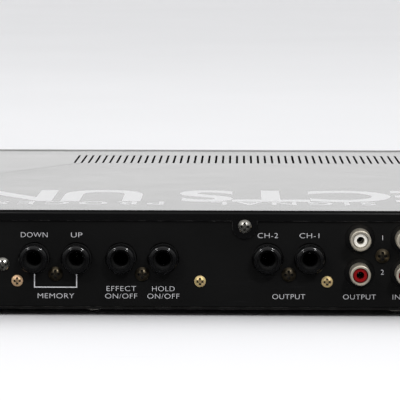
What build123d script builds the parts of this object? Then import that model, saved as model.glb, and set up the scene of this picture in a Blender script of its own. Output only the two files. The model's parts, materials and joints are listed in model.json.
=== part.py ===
"""Rack effects unit: a one-unit-high case for a nineteen-inch rack, with its connectors on the rear panel.

Frame: the origin is the centre of the four rack holes, on the rear face of the front panel's ears.
+X is to the right of someone who faces the front panel, +Y runs back to the rear panel, +Z is up.
All sizes are in millimetres.
"""

import os
from math import sqrt

from build123d import *

os.makedirs("parts", exist_ok=True)

# ---------------------------------------------------------------- case
panel_width = 482.6
panel_height = 43.7
panel_thickness = 3.0
panel_corner = 1.5
ear_width = 26.3
rack_hole_inset = 8.75
rack_hole_pitch = 31.75
rack_slot_width = 6.8
rack_slot_length = 10.0
body_depth = 280.0
steel = 1.0
rear_steel = 1.2
sub_steel = 1.2
bend = 1.6
cover_drop = 0.4
pan_rise = 2.4
foot_height = 3.0
sheet_gap = 0.3
flange_depth = 9.0
cut_spare = 1.0
panel_edge = 0.5
pan_bend_share = 0.7
panel_bend_share = 0.8
panel_edge_share = 0.3
foot_d = 12.0
foot_edge = 0.5
foot_peg_d = 4.0
foot_peg_grip = 1.0
foot_side = 32.0
foot_front_y = 30.0
foot_rear_inset = 34.0

base_z = -panel_height / 2
pan_bottom = base_z + pan_rise
floor_z = pan_bottom - foot_height
pan_top = pan_bottom + steel
cover_top = base_z + panel_height - cover_drop
cover_under = cover_top - steel
body_half = panel_width / 2 - ear_width
pan_half = body_half - steel - sheet_gap
wall_half = pan_half - steel
rear_out = body_depth
rear_in = rear_out - rear_steel
sub_back = sub_steel

# ---------------------------------------------------------------- screws
m3 = 3.0
m3_clear = 3.4
thread_gap = 0.1
pan_head_d = 5.5
pan_head_h = 1.9
pan_screw_length = 6.0
flat_screw_length = 6.0
small_head_d = 4.7
small_head_h = 1.5
wide_head_d = 5.9
recess_width = 1.1
recess_span = 0.62
recess_depth = 0.85
flat_recess_depth = 0.6
screw_rim = 0.35
sink_gap = 0.1
m2 = 2.0
m2_clear = 2.4
front_screw_side = 6.0
front_screw_edge = 7.5
pan_screw_side = 27.0
pan_screw_middle = 62.0

# ---------------------------------------------------------------- cover
cover_flange = 4.35
tab_width = 10.4
tab_screw_drop = 6.4
cover_skirt_gap = 0.8
vent_pitch = 3.5
vent_count = 49
vent_width = 1.0
vent_length = 42.0
vent_front = 28.0
side_screw_inset = 55.0
side_screw_drop = 14.0

# ---------------------------------------------------------------- rear connectors
jack_height = 23.45
jack_pitch = 17.3
jack_nose_d = 12.0
jack_nose_length = 5.9
jack_hole_gap = 0.6
jack_shoulder = 1.3
jack_lip_d = 9.9
jack_lip_height = 0.7
jack_bore = 6.5
jack_mouth_d = 8.4
jack_mouth_depth = 2.2
jack_block_depth = 24.0
jack_block_side = 7.0
jack_boss_width = 9.0
jack_screw_drop = 6.45
jack_pocket_depth = 1.6
jack_pocket_width = 3.0
jack_pocket_bite = 0.6
tip_pocket_length = 10.0
sleeve_pocket_start = 4.0
sleeve_pocket_length = 7.0
contact_leaf = 0.4
contact_gap = 0.3
contact_end = 0.5
contact_bend = 2.5
jack_lip_round = 0.6
boss_hole_spare = 1.0
hold_offset = 33.3
jack_pair_gap = 18.25
output_offset = 9.45
jack_to_phono = 20.3

phono_height = 24.85
phono_pitch = 14.2
phono_column = 18.6
phono_shell_d = 8.5
phono_shell_wall = 1.1
phono_shell_length = 8.5
phono_hole_d = 12.4
phono_bore = 3.2
phono_block_depth = 10.0
phono_recess = 0.3
phono_seat = 4.0
phono_neck = 0.25
phono_pocket = 0.5
phono_back_d = 2.4
phono_edge = 0.5
phono_boss_gap = 0.15
phono_wall_x = 0.8
phono_wall_z = 0.3
insert_back = 1.2
insert_fit = 0.02

midi_height = 20.9
jack_to_midi = 24.15
midi_pitch = 30.0
midi_hole_d = 15.4
midi_plug_d = 13.6
midi_core_d = 11.2
midi_body_width = 18.8
midi_flange = 2.0
midi_flange_height = 8.0
midi_ear = 3.0
midi_slot_depth = 9.0
midi_pin_depth = 8.0
midi_proud = 0.6
midi_screw_pitch = 22.3
midi_depth = 12.0
midi_pin_d = 1.6
midi_pin_circle = 7.4
midi_corner = 2.0
midi_hole_gap = 0.2

inlet_height = 22.4
inlet_flange_width = 50.0
inlet_flange_height = 24.0
inlet_flange_thickness = 2.4
inlet_cavity_width = 24.6
inlet_cavity_height = 16.6
inlet_cavity_depth = 16.5
inlet_wall = 1.6
inlet_screw_pitch = 40.0
inlet_margin = 4.0
inlet_hole_gap = 0.2
inlet_corner = 5.0
inlet_edge = 0.6
inlet_key = 4.0
inlet_back = 3.0
inlet_pin_spread = 7.0
inlet_pin_step = 2.0
inlet_pin_thickness = 2.0
inlet_pin_height = 4.0
inlet_pin_sink = 0.5

level_height = 23.45
jack_to_level = 24.0
level_travel = 4.0
level_knob = 4.0
level_knob_height = 2.4
level_screw_pitch = 19.0
level_body_width = 15.0
level_body_height = 9.0
level_body_depth = 7.0
level_clear = 0.2
level_slot_gap = 0.4
level_ear = 3.0
level_plate = 1.0
level_front = 1.2
level_lip = 1.0
level_slide_thickness = 1.8
level_slide_height = 6.0
level_edge = 0.4
level_head_d = 3.8
level_head_h = 1.3
level_screw_length = 3.0

bracket_height = 14.1
bracket_inset = 7.05
bracket_shift = 6.3
bracket_width = 8.0
bracket_reach = 16.0
bracket_thickness = 2.0
bracket_rise = 2.1

effect_pair_x = hold_offset + jack_pitch / 2
memory_pair_x = effect_pair_x + jack_pitch + jack_pair_gap
output_pair_x = -(output_offset + jack_pitch / 2)
phono_x = output_pair_x - jack_pitch / 2 - jack_to_phono - phono_column / 2
input_pair_x = phono_x - phono_column / 2 - jack_to_phono - jack_pitch / 2
jack_pairs = {
    "memory": memory_pair_x,
    "effect": effect_pair_x,
    "output": output_pair_x,
    "input": input_pair_x,
}
midi_in_x = memory_pair_x + jack_pitch / 2 + jack_to_midi
midi_thru_x = midi_in_x + midi_pitch
inlet_x = wall_half - inlet_flange_width / 2 - inlet_margin
level_x = input_pair_x - jack_pitch / 2 - jack_to_level

jack_z = base_z + jack_height
phono_z = base_z + phono_height
midi_z = base_z + midi_height
inlet_z = base_z + inlet_height
level_z = base_z + level_height
bracket_z = base_z + bracket_height
jack_screw_z = jack_z - jack_screw_drop
jack_end = rear_out + jack_nose_length + jack_lip_height

bracket_xs = [
    memory_pair_x + jack_pitch / 2 + bracket_inset,
    (effect_pair_x + output_pair_x) / 2 + bracket_shift,
    output_pair_x - jack_pitch / 2 - bracket_inset,
    input_pair_x - jack_pitch / 2 - bracket_inset,
]

# ---------------------------------------------------------------- boards
board = 1.6
standoff_height = 8.2
board_under = pan_top + standoff_height
board_top = board_under + board
main_front = 62.0
board_rear_gap = 4.0
side_clearance = 10.0
standoff_d = 6.0
power_width = 86.0
power_front = 70.0
power_depth = 78.0
board_gap = 6.0
socket_gap = 4.0
power_wall_gap = 4.0
notch_gap = 0.6
stud_proud = 2.0
main_hole_edge = 8.0
main_hole_rear = 34.0
power_hole_edge = 6.0

chip_columns = 6
chip_rows = 4
chip_height = 3.6
chip_notch_d = 2.4
chip_notch_depth = 0.5
long_chip_size = (28.0, 13.5)
short_chip_size = (19.5, 6.6)
first_chip_inset = 34.0
last_chip_gap = 22.0
small_cap_count = 8
small_cap_pitch = 30.0
small_cap_inset = 48.0
small_cap_d = 6.3
small_cap_height = 11.0
filter_count = 3
filter_d = 14.0
filter_height = 22.0
filter_gap = 3.0
filter_inset = 20.0
filter_side = 14.0

sink_side = 8.0
sink_width = 50.0
sink_inset = 24.0
sink_plate = 2.5
sink_height = 24.0
fin_count = 8
fin_thickness = 1.4
fin_depth = 9.0
regulator_count = 3
regulator_pitch = 15.0
regulator_side = 10.0
regulator_width = 10.0
regulator_thickness = 4.5
regulator_lift = 3.0
regulator_height = 15.0
fuse_side = 19.0
fuse_inset = 39.0
fuse_d = 5.2
fuse_length = 20.0
fuse_lift = 4.6
clip_width = 5.0
clip_depth = 8.0
clip_height = 6.0
clip_pitch = 17.0
clip_end = 1.0

core_width = 57.0
core_depth = 48.0
core_height = 26.0
core_wall_gap = 6.0
limb = 19.0
window_across = 9.5
window_depth = 29.0
coil_depth = 28.4
coil_height = 34.0
coil_gap = 0.2
coil_side_gap = 0.4
coil_round = 3.0
core_foot_width = 8.0
core_foot_depth = 40.0

main_right = midi_in_x - midi_hole_d / 2 - socket_gap
main_left = -(wall_half - side_clearance)
main_rear = rear_in - board_rear_gap

# ---------------------------------------------------------------- front controls
knob_d = 15.0
knob_length = 13.0
knob_gap = 0.5
knob_side = 22.0
knob_edge = 1.0
knob_sink_gap = 0.9
pointer_width = 1.0
pointer_length = 4.0
pointer_depth = 0.4
knob_x = -(body_half - knob_side)
knob_pitch = 25.0
shaft_d = 6.0
shaft_length = 9.5
bushing_d = 7.0
bushing_hole_gap = 0.2
pot_nut_width = 10.0
pot_nut_height = 1.8
pot_body_d = 16.5
pot_body_depth = 9.0
bushing_proud = 0.7
bushing_depth = 2.0
shaft_gap = 0.05
shaft_flat = 1.6
flat_start = 2.0
flat_fit = 0.7

window_x = -45.0
window_width = 138.0
window_height = 26.0
window_recess = 0.4
window_gap = 0.1
window_lip = 3.0
module_depth = 6.0
module_gap = 0.4
module_lap = 2.0
glass_proud = 0.8
module_board_side = 3.0
module_board_rise = 1.5

key_x = 90.0
key_pitch_x = 24.0
key_pitch_z = 15.0
key_columns = 4
key_width = 14.0
key_height = 6.6
key_proud = 2.0
key_travel = 1.0
key_gap = 0.25
key_flange = 1.2
key_stem_d = 3.0
switch_size = 6.0
switch_body = 3.6
key_board_y = 9.0
key_board_gap = 1.5
key_board_side = 14.0
key_seat_gap = 0.3
key_flange_thickness = 1.0
key_edge = 0.6
key_stem_grip = 1.2
key_hole_gap = 0.2
post_d = 4.8
post_side = 3.0

ribbon_width = 22.0
ribbon_thickness = 1.0
ribbon_offset = 18.0
ribbon_run = 26.0
ribbon_lead = 8.0
ribbon_arch = 12.0
ribbon_turn = 3.0
plug_inset = 10.0
plug_width = 6.0
plug_height = 6.0
plug_end = 1.0

power_side = 26.0
power_x = body_half - power_side
power_cap = 11.0
power_proud = 5.0
power_travel = 3.0
power_stem = 4.0
power_body_depth = 24.0
led_d = 3.0
led_offset = 14.0
led_gap = 0.1
led_proud = 0.6
led_round = 1.2
led_back = 3.0
led_base = 0.4
led_foot = 1.0
led_x = power_x - led_offset
power_edge = 0.8
power_seat = 1.0
power_stem_end = 10.0
power_stem_gap = 0.2
power_body_front = 6.0
power_body_width = 16.0
power_ear = 3.0
power_ear_height = 8.0
power_ear_depth = 8.0
power_end_gap = 0.5


# ---------------------------------------------------------------- helpers
def save(part, name):
    """Writes one sub-part to its own file."""
    part.label = name
    export_step(part, f"parts/{name}.step")


def group(name, solids):
    """Writes identical or related solids as one node."""
    save(Compound(children=solids), name)


def wall(y):
    """A sketch plane across the case at depth y. It reads in X and Z, and extrudes towards the front."""
    return Plane.XZ.offset(-y)


def facing(x, y, z, direction):
    """The place of a screw whose head looks in a direction, along one of the axes."""
    side = (0, 0, 1) if abs(direction[2]) < 0.5 else (1, 0, 0)
    return Plane(origin=(x, y, z), x_dir=side, z_dir=direction).location


BACK, FRONT, UP, DOWN = (0, 1, 0), (0, -1, 0), (0, 0, 1), (0, 0, -1)


def block(low, high, mode=Mode.ADD):
    """A box between two opposite corners, for use inside a part."""
    size = [b - a for a, b in zip(low, high)]
    middle = [(a + b) / 2 for a, b in zip(low, high)]
    with Locations(tuple(middle)):
        Box(*size, mode=mode)


def lone_block(low, high):
    """A separate box between two opposite corners."""
    with BuildPart() as box:
        block(low, high)
    return box.part


def rod(x, y, z, direction, diameter, length):
    """A separate round rod that starts at a point and runs in a direction."""
    with BuildPart() as bar:
        with BuildSketch(Plane(origin=(x, y, z), z_dir=direction)):
            Circle(diameter / 2)
        extrude(amount=length)
    return bar.part


def machine_screw(head_d, head_h, length, shank_d=m3):
    """A cross-recess screw with a domed head. It stands on its seat at the origin, head up."""
    rim = screw_rim * head_h
    dome = head_h - rim
    radius = ((head_d / 2) ** 2 + dome**2) / (2 * dome)
    half_way = head_h - radius + sqrt(radius**2 - (head_d / 4) ** 2)
    with BuildPart() as screw:
        with BuildSketch(Plane.XZ):
            with BuildLine():
                Polyline(
                    (0, head_h),
                    (0, -length),
                    (shank_d / 2, -length),
                    (shank_d / 2, 0),
                    (head_d / 2, 0),
                    (head_d / 2, rim),
                )
                ThreePointArc((head_d / 2, rim), (head_d / 4, half_way), (0, head_h))
            make_face()
        revolve(axis=Axis.Z)
        with BuildSketch(Plane.XY.offset(head_h)):
            Rectangle(recess_width, recess_span * head_d)
            Rectangle(recess_span * head_d, recess_width)
        extrude(amount=-recess_depth * head_h, mode=Mode.SUBTRACT)
    return screw.part


def flat_screw(head_d, length, shank_d=m3):
    """A countersunk cross-recess screw. Its flat head is level with the origin."""
    cone = (head_d - shank_d) / 2
    with BuildPart() as screw:
        with BuildSketch(Plane.XZ):
            with BuildLine():
                Polyline(
                    (0, 0),
                    (head_d / 2, 0),
                    (shank_d / 2, -cone),
                    (shank_d / 2, -length),
                    (0, -length),
                    close=True,
                )
            make_face()
        revolve(axis=Axis.Z)
        with BuildSketch(Plane.XY):
            Rectangle(recess_width, recess_span * head_d)
            Rectangle(recess_span * head_d, recess_width)
        extrude(amount=-flat_recess_depth * cone, mode=Mode.SUBTRACT)
    return screw.part


# ---------------------------------------------------------------- places that several pieces share
rack_hole_span = panel_width - 2 * rack_hole_inset
knob_xs = [knob_x + i * knob_pitch for i in range(3)]
key_places = [
    (key_x + (column - (key_columns - 1) / 2) * key_pitch_x, (0.5 - row) * key_pitch_z)
    for row in range(2)
    for column in range(key_columns)
]
front_screw_x = body_half - front_screw_side
front_screw_z = panel_height / 2 - front_screw_edge
front_screw_places = [(sx * front_screw_x, sz * front_screw_z) for sx in (-1, 1) for sz in (-1, 1)]
side_screw_z = cover_top - side_screw_drop
side_screw_ys = [side_screw_inset, body_depth - side_screw_inset]
tab_screw_z = cover_top - tab_screw_drop
rear_pan_screw_y = rear_out - flange_depth / 2 - sheet_gap
front_pan_screw_y = sub_back + flange_depth / 2
pan_screw_xs = [s * x for s in (-1, 1) for x in (body_half - pan_screw_side, pan_screw_middle)]
foot_rear_y = body_depth - foot_rear_inset
foot_places = [(sx * (body_half - foot_side), y) for sx in (-1, 1) for y in (foot_front_y, foot_rear_y)]
main_standoffs = [
    (x, y)
    for x in (main_left + main_hole_edge, (main_left + main_right) / 2, main_right - main_hole_edge)
    for y in (main_front + main_hole_edge, main_rear - main_hole_rear)
]
power_left = main_right + board_gap
power_right = min(power_left + power_width, wall_half - power_wall_gap)
power_standoffs = [
    (x, y)
    for x in (power_left + power_hole_edge, power_right - power_hole_edge)
    for y in (power_front + power_hole_edge, power_front + power_depth - power_hole_edge)
]


# ---------------------------------------------------------------- front panel and sub-panel
def key_openings(gap):
    """Sketches the key holes, a gap wider than the keys all round."""
    with Locations(*key_places):
        Rectangle(key_width + 2 * gap, key_height + 2 * gap, mode=Mode.SUBTRACT)


with BuildPart() as front_panel:
    with BuildSketch(wall(0)):
        RectangleRounded(panel_width, panel_height, panel_corner)
        with GridLocations(rack_hole_span, rack_hole_pitch, 2, 2):
            SlotOverall(rack_slot_length, rack_slot_width, mode=Mode.SUBTRACT)
        key_openings(key_gap)
        with Locations((window_x, 0)):
            Rectangle(window_width, window_height, mode=Mode.SUBTRACT)
        with Locations((power_x, 0)):
            Rectangle(power_cap + 2 * key_gap, power_cap + 2 * key_gap, mode=Mode.SUBTRACT)
        with Locations((led_x, 0)):
            Circle(led_d / 2 + led_gap, mode=Mode.SUBTRACT)
        with Locations(*[(x, 0) for x in knob_xs]):
            Circle(bushing_d / 2 + bushing_hole_gap, mode=Mode.SUBTRACT)
    extrude(amount=panel_thickness)
    front_rim = front_panel.faces().sort_by(Axis.Y)[0].outer_wire().edges()
    chamfer(front_rim, panel_edge)
    for x, z in front_screw_places:
        with Locations(Plane(origin=(x, -panel_thickness, z), z_dir=FRONT)):
            CounterSinkHole(m3_clear / 2, pan_head_d / 2 + sink_gap, counter_sink_angle=90)
save(front_panel.part, "front_panel")

with BuildPart() as sub_panel:
    with BuildSketch(wall(sub_back)):
        with Locations((0, (pan_top + cover_under) / 2)):
            Rectangle(2 * (wall_half - sheet_gap), cover_under - pan_top)
        key_openings(key_gap)
        with Locations((window_x, 0)):
            lip = 2 * window_lip
            Rectangle(window_width - lip, window_height - lip, mode=Mode.SUBTRACT)
        with Locations((power_x, 0)):
            Rectangle(power_cap + 2 * key_gap, power_cap + 2 * key_gap, mode=Mode.SUBTRACT)
        with Locations((led_x, 0)):
            Circle(led_d / 2 + led_gap, mode=Mode.SUBTRACT)
        with Locations(*[(x, 0) for x in knob_xs]):
            Circle(bushing_d / 2 + bushing_hole_gap, mode=Mode.SUBTRACT)
        with Locations(*front_screw_places):
            Circle((m3 + thread_gap) / 2, mode=Mode.SUBTRACT)
    extrude(amount=sub_steel)
    sub_half = wall_half - sheet_gap
    sub_flange_back = sub_back + flange_depth
    block((-sub_half, sub_back, pan_top), (sub_half, sub_flange_back, pan_top + sub_steel))
    block((-sub_half, sub_back, cover_under - sub_steel), (sub_half, sub_flange_back, cover_under))
    for x in pan_screw_xs:
        with Locations(Plane(origin=(x, front_pan_screw_y, pan_top))):
            Cylinder((m3 + thread_gap) / 2, 4 * sub_steel, mode=Mode.SUBTRACT)
save(sub_panel.part, "sub_panel")

# ---------------------------------------------------------------- pan
with BuildPart() as bottom_pan:
    block((-pan_half, sheet_gap, pan_bottom), (pan_half, rear_out, pan_top))
    for side in (-1, 1):
        edges_x = sorted((side * wall_half, side * pan_half))
        block(
            (edges_x[0], sheet_gap, pan_top),
            (edges_x[1], rear_in - sheet_gap, cover_under - sheet_gap),
        )
        for y in side_screw_ys:
            with Locations(Location((side * pan_half, y, side_screw_z), (0, 90, 0))):
                Cylinder((m3 + thread_gap) / 2, 4 * steel, mode=Mode.SUBTRACT)
    bends = bottom_pan.edges().filter_by(Axis.Y).group_by(Axis.Z)[0].sort_by(Axis.X)
    fillet([bends[0], bends[-1]], pan_bend_share * steel)
    pan_holes = [(x, y, m3_clear) for x in pan_screw_xs for y in (front_pan_screw_y, rear_pan_screw_y)]
    pan_holes += [(x, y, foot_peg_d + thread_gap) for x, y in foot_places]
    pan_holes += [(x, y, m3_clear) for x, y in main_standoffs + power_standoffs]
    for x, y, diameter in pan_holes:
        with Locations((x, y, pan_bottom)):
            Cylinder(diameter / 2, 4 * steel, mode=Mode.SUBTRACT)
save(bottom_pan.part, "bottom_pan")

with BuildPart() as foot:
    Cylinder(foot_d / 2, foot_height, align=(Align.CENTER, Align.CENTER, Align.MAX))
    fillet(foot.edges().sort_by(Axis.Z)[0], foot_edge)
    Cylinder(foot_peg_d / 2, steel + foot_peg_grip, align=(Align.CENTER, Align.CENTER, Align.MIN))
group("rubber_feet", [Location((x, y, pan_bottom)) * foot.part for x, y in foot_places])

# ---------------------------------------------------------------- rear panel
with BuildPart() as rear_panel:
    with BuildSketch(wall(rear_out)):
        with Locations((0, (pan_top + cover_under) / 2)):
            Rectangle(2 * pan_half, cover_under - pan_top)
        with Locations(*[(x + s * jack_pitch / 2, jack_z) for x in jack_pairs.values() for s in (-1, 1)]):
            Circle(jack_nose_d / 2 + jack_hole_gap, mode=Mode.SUBTRACT)
        with Locations(*[(x, jack_screw_z) for x in jack_pairs.values()], (phono_x, phono_z)):
            Circle(m3_clear / 2, mode=Mode.SUBTRACT)
        with Locations((phono_x, phono_z)):
            with GridLocations(phono_column, phono_pitch, 2, 2):
                Circle(phono_hole_d / 2, mode=Mode.SUBTRACT)
        with Locations((midi_in_x, midi_z), (midi_thru_x, midi_z)):
            Circle(midi_hole_d / 2, mode=Mode.SUBTRACT)
            with GridLocations(midi_screw_pitch, 1, 2, 1):
                Circle(m3_clear / 2, mode=Mode.SUBTRACT)
        with Locations((inlet_x, inlet_z)):
            inlet_hole = inlet_cavity_width + 2 * (inlet_wall + inlet_hole_gap)
            inlet_rise = inlet_cavity_height + 2 * (inlet_wall + inlet_hole_gap)
            Rectangle(inlet_hole, inlet_rise, mode=Mode.SUBTRACT)
            with GridLocations(inlet_screw_pitch, 1, 2, 1):
                Circle((m3 + thread_gap) / 2, mode=Mode.SUBTRACT)
        with Locations((level_x, level_z)):
            slot_width = level_knob + level_travel + 2 * level_slot_gap
            Rectangle(slot_width, level_knob + 2 * level_slot_gap, mode=Mode.SUBTRACT)
            with GridLocations(level_screw_pitch, 1, 2, 1):
                Circle(m2_clear / 2, mode=Mode.SUBTRACT)
        with Locations(*[(x, bracket_z) for x in bracket_xs]):
            Circle(m3_clear / 2, mode=Mode.SUBTRACT)
        with Locations((0, tab_screw_z)):
            Circle((m3 + thread_gap) / 2, mode=Mode.SUBTRACT)
    extrude(amount=rear_steel)
    rear_half = wall_half - sheet_gap
    block((-rear_half, rear_out - flange_depth, pan_top), (rear_half, rear_in, pan_top + rear_steel))
    block(
        (-rear_half, rear_out - flange_depth, cover_under - rear_steel),
        (rear_half, rear_in, cover_under),
    )
    for x in pan_screw_xs:
        with Locations((x, rear_pan_screw_y, pan_top)):
            Cylinder((m3 + thread_gap) / 2, 4 * rear_steel, mode=Mode.SUBTRACT)
    top_bend = rear_panel.edges().filter_by(Axis.X).group_by(Axis.Y)[-1].sort_by(Axis.Z)[-1]
    bottom_bend = rear_panel.edges().filter_by(Axis.X).group_by(Axis.Y)[-1].sort_by(Axis.Z)[0]
    fillet(top_bend, panel_bend_share * rear_steel)
    fillet(bottom_bend, panel_edge_share * rear_steel)
save(rear_panel.part, "rear_panel")

# ---------------------------------------------------------------- top cover
cover_rear = rear_out + steel
with BuildPart() as top_cover:
    block(
        (-body_half, sheet_gap, pan_bottom + cover_skirt_gap),
        (body_half, cover_rear, cover_top),
    )
    long_bends = top_cover.edges().filter_by(Axis.Y).group_by(Axis.Z)[-1]
    rear_bend = top_cover.edges().filter_by(Axis.X).group_by(Axis.Z)[-1].sort_by(Axis.Y)[-1]
    fillet([*long_bends, rear_bend], bend)
    front_face = top_cover.faces().sort_by(Axis.Y)[0]
    bottom_face = top_cover.faces().sort_by(Axis.Z)[0]
    offset(amount=-steel, openings=[front_face, bottom_face])
    flange_edge = cover_top - cover_flange
    with BuildSketch(wall(cover_rear + cut_spare)):
        cut_height = flange_edge - pan_bottom
        with Locations((0, flange_edge - cut_height / 2)):
            Rectangle(2 * (body_half - steel), cut_height)
        with Locations((0, (tab_screw_z + flange_edge) / 2)):
            Rectangle(tab_width, flange_edge - tab_screw_z, mode=Mode.SUBTRACT)
        with Locations((0, tab_screw_z)):
            Circle(tab_width / 2, mode=Mode.SUBTRACT)
    extrude(amount=steel + cut_spare, mode=Mode.SUBTRACT)
    with BuildSketch(wall(cover_rear + cut_spare)):
        with Locations((0, tab_screw_z)):
            Circle(m3_clear / 2)
    extrude(amount=steel + cut_spare, mode=Mode.SUBTRACT)
    with BuildSketch(Plane.XY.offset(cover_top)):
        with Locations((0, vent_front + vent_length / 2)):
            with GridLocations(vent_pitch, 1, vent_count, 1):
                SlotOverall(vent_length, vent_width, rotation=90)
    extrude(amount=-steel, mode=Mode.SUBTRACT)
    for side in (-1, 1):
        for y in side_screw_ys:
            with Locations(Location((side * body_half, y, side_screw_z), (0, 90, 0))):
                Cylinder(m3_clear / 2, 3 * steel, mode=Mode.SUBTRACT)
save(top_cover.part, "top_cover")

# ---------------------------------------------------------------- case screws
pan_screw = machine_screw(pan_head_d, pan_head_h, pan_screw_length)
case_screw_places = [facing(0, cover_rear, tab_screw_z, BACK)]
for side in (-1, 1):
    for y in side_screw_ys:
        case_screw_places.append(facing(side * body_half, y, side_screw_z, (side, 0, 0)))
for x in pan_screw_xs:
    for y in (front_pan_screw_y, rear_pan_screw_y):
        case_screw_places.append(facing(x, y, pan_bottom, DOWN))
group("case_screws", [place * pan_screw for place in case_screw_places])

inlet_face = rear_out + inlet_flange_thickness
countersunk_screw = flat_screw(pan_head_d, flat_screw_length)
countersunk_places = [facing(x, -panel_thickness, z, FRONT) for x, z in front_screw_places]
for side in (-1, 1):
    countersunk_places.append(facing(inlet_x + side * inlet_screw_pitch / 2, inlet_face, inlet_z, BACK))
group("countersunk_screws", [place * countersunk_screw for place in countersunk_places])


# ---------------------------------------------------------------- quarter-inch jacks
def jack_block(x):
    """Two jacks moulded in one block, with a boss between them for the screw from the rear panel."""
    half = jack_pitch / 2 + jack_block_side
    floor = board_top
    with BuildPart() as body:
        block(
            (x - half, rear_in - jack_block_depth, jack_z - jack_block_side),
            (x + half, rear_in, jack_z + jack_block_side),
        )
        block(
            (x - jack_boss_width / 2, rear_in - jack_block_depth, floor),
            (x + jack_boss_width / 2, rear_in, jack_z),
        )
        for side in (-1, 1):
            middle = x + side * jack_pitch / 2
            with BuildSketch(wall(rear_out + jack_nose_length)):
                with Locations((middle, jack_z)):
                    Circle(jack_nose_d / 2)
            extrude(amount=jack_nose_length + rear_steel)
        shoulders = body.faces().group_by(Axis.Y)[-1].edges()
        fillet(shoulders, jack_shoulder)
        for side in (-1, 1):
            middle = x + side * jack_pitch / 2
            with BuildSketch(wall(rear_out + jack_nose_length)):
                with Locations((middle, jack_z)):
                    Circle(jack_lip_d / 2)
            extrude(amount=-jack_lip_height)
        lips = body.faces().group_by(Axis.Y)[-1].edges()
        fillet(lips, jack_lip_round * jack_lip_height)
        for side in (-1, 1):
            middle = x + side * jack_pitch / 2
            with BuildSketch(wall(jack_end)):
                with Locations((middle, jack_z)):
                    Circle(jack_bore / 2)
            extrude(amount=jack_end - rear_in + jack_block_depth, mode=Mode.SUBTRACT)
            mouth = Plane(origin=(middle, jack_end, jack_z), z_dir=BACK)
            with BuildSketch(mouth):
                Circle(jack_mouth_d / 2)
            with BuildSketch(mouth.offset(-jack_mouth_depth)):
                Circle(jack_bore / 2)
            loft(mode=Mode.SUBTRACT)
            for pocket in jack_pockets(middle):
                block(*pocket, mode=Mode.SUBTRACT)
        with BuildSketch(wall(rear_in)):
            with Locations((x, jack_screw_z)):
                Circle((m3 + thread_gap) / 2)
        extrude(amount=pan_screw_length + boss_hole_spare, mode=Mode.SUBTRACT)
    return body.part


def jack_pockets(middle):
    """The slots above the bore for the tip contact and below it for the sleeve contact, as box corners."""
    near, far = jack_bore / 2 - jack_pocket_bite, jack_bore / 2 + jack_pocket_depth
    left, right = middle - jack_pocket_width / 2, middle + jack_pocket_width / 2
    tip_back = rear_in - jack_block_depth
    sleeve_front = rear_in - sleeve_pocket_start
    return [
        ((left, tip_back, jack_z + near), (right, tip_back + tip_pocket_length, jack_z + far)),
        ((left, sleeve_front - sleeve_pocket_length, jack_z - far), (right, sleeve_front, jack_z - near)),
    ]


def jack_contact(pocket, outward):
    """A sprung leaf that lies on its pocket's far wall, with its free end bent towards the bore."""
    (x0, y0, z0), (x1, y1, z1) = pocket
    root = z1 if outward > 0 else z0
    tip = root - outward * (jack_pocket_depth - contact_gap)
    inner = root - outward * contact_leaf
    end = y1 - contact_end
    with BuildPart() as contact:
        with BuildSketch(Plane.YZ.offset(x0 + contact_gap)):
            Polygon(
                (y0, root),
                (end, root),
                (end, tip),
                (end - contact_leaf, tip),
                (y1 - contact_bend, inner),
                (y0, inner),
                align=None,
            )
        extrude(amount=x1 - x0 - 2 * contact_gap)
    return contact.part


jack_contacts = []
for pair, x in jack_pairs.items():
    save(jack_block(x), f"jack_block_{pair}")
    for side in (-1, 1):
        pockets = jack_pockets(x + side * jack_pitch / 2)
        jack_contacts.append(jack_contact(pockets[0], 1))
        jack_contacts.append(jack_contact(pockets[1], -1))
group("jack_contacts", jack_contacts)

connector_screw = machine_screw(wide_head_d, pan_head_h, pan_screw_length)
connector_places = [facing(x, rear_out, jack_screw_z, BACK) for x in jack_pairs.values()]
connector_places.append(facing(phono_x, rear_out, phono_z, BACK))
group("connector_screws", [place * connector_screw for place in connector_places])

# ---------------------------------------------------------------- phono sockets
phono_places = [
    (phono_x + sx * phono_column / 2, phono_z + sz * phono_pitch / 2) for sz in (1, -1) for sx in (1, -1)
]
shell_root = rear_out - phono_recess
with BuildPart() as phono_block:
    half_x = phono_column / 2 + phono_hole_d / 2 + phono_wall_x
    half_z = phono_pitch / 2 + phono_hole_d / 2 + phono_wall_z
    block(
        (phono_x - half_x, rear_in - phono_block_depth, phono_z - half_z),
        (phono_x + half_x, rear_in, phono_z + half_z),
    )
    with BuildSketch(wall(shell_root)):
        with Locations(*phono_places):
            Circle(phono_hole_d / 2 - phono_boss_gap)
    extrude(amount=shell_root - rear_in)
    with BuildSketch(wall(shell_root)):
        with Locations(*phono_places):
            Circle(phono_shell_d / 2 - phono_neck)
    extrude(amount=phono_seat + phono_pocket, mode=Mode.SUBTRACT)
    with BuildSketch(wall(shell_root)):
        with Locations(*phono_places):
            Circle(phono_back_d / 2)
    extrude(amount=shell_root - rear_in + phono_block_depth, mode=Mode.SUBTRACT)
    with BuildSketch(wall(rear_in)):
        with Locations((phono_x, phono_z)):
            Circle((m3 + thread_gap) / 2)
    extrude(amount=pan_screw_length + boss_hole_spare, mode=Mode.SUBTRACT)
save(phono_block.part, "phono_block")

phono_end = rear_out + phono_shell_length
with BuildPart() as phono_shell:
    with BuildSketch(Plane.XY):
        Circle(phono_shell_d / 2 - phono_neck)
    extrude(amount=phono_seat)
    with BuildSketch(Plane.XY.offset(phono_seat)):
        Circle(phono_shell_d / 2)
    extrude(amount=phono_end - shell_root)
    fillet(phono_shell.faces().sort_by(Axis.Z)[-1].edges(), phono_edge)
    with BuildSketch(Plane.XY):
        Circle(phono_shell_d / 2 - phono_shell_wall)
    extrude(amount=phono_end - shell_root + phono_seat, mode=Mode.SUBTRACT)
group(
    "phono_shells",
    [facing(x, shell_root - phono_seat, z, BACK) * phono_shell.part for x, z in phono_places],
)

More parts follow.
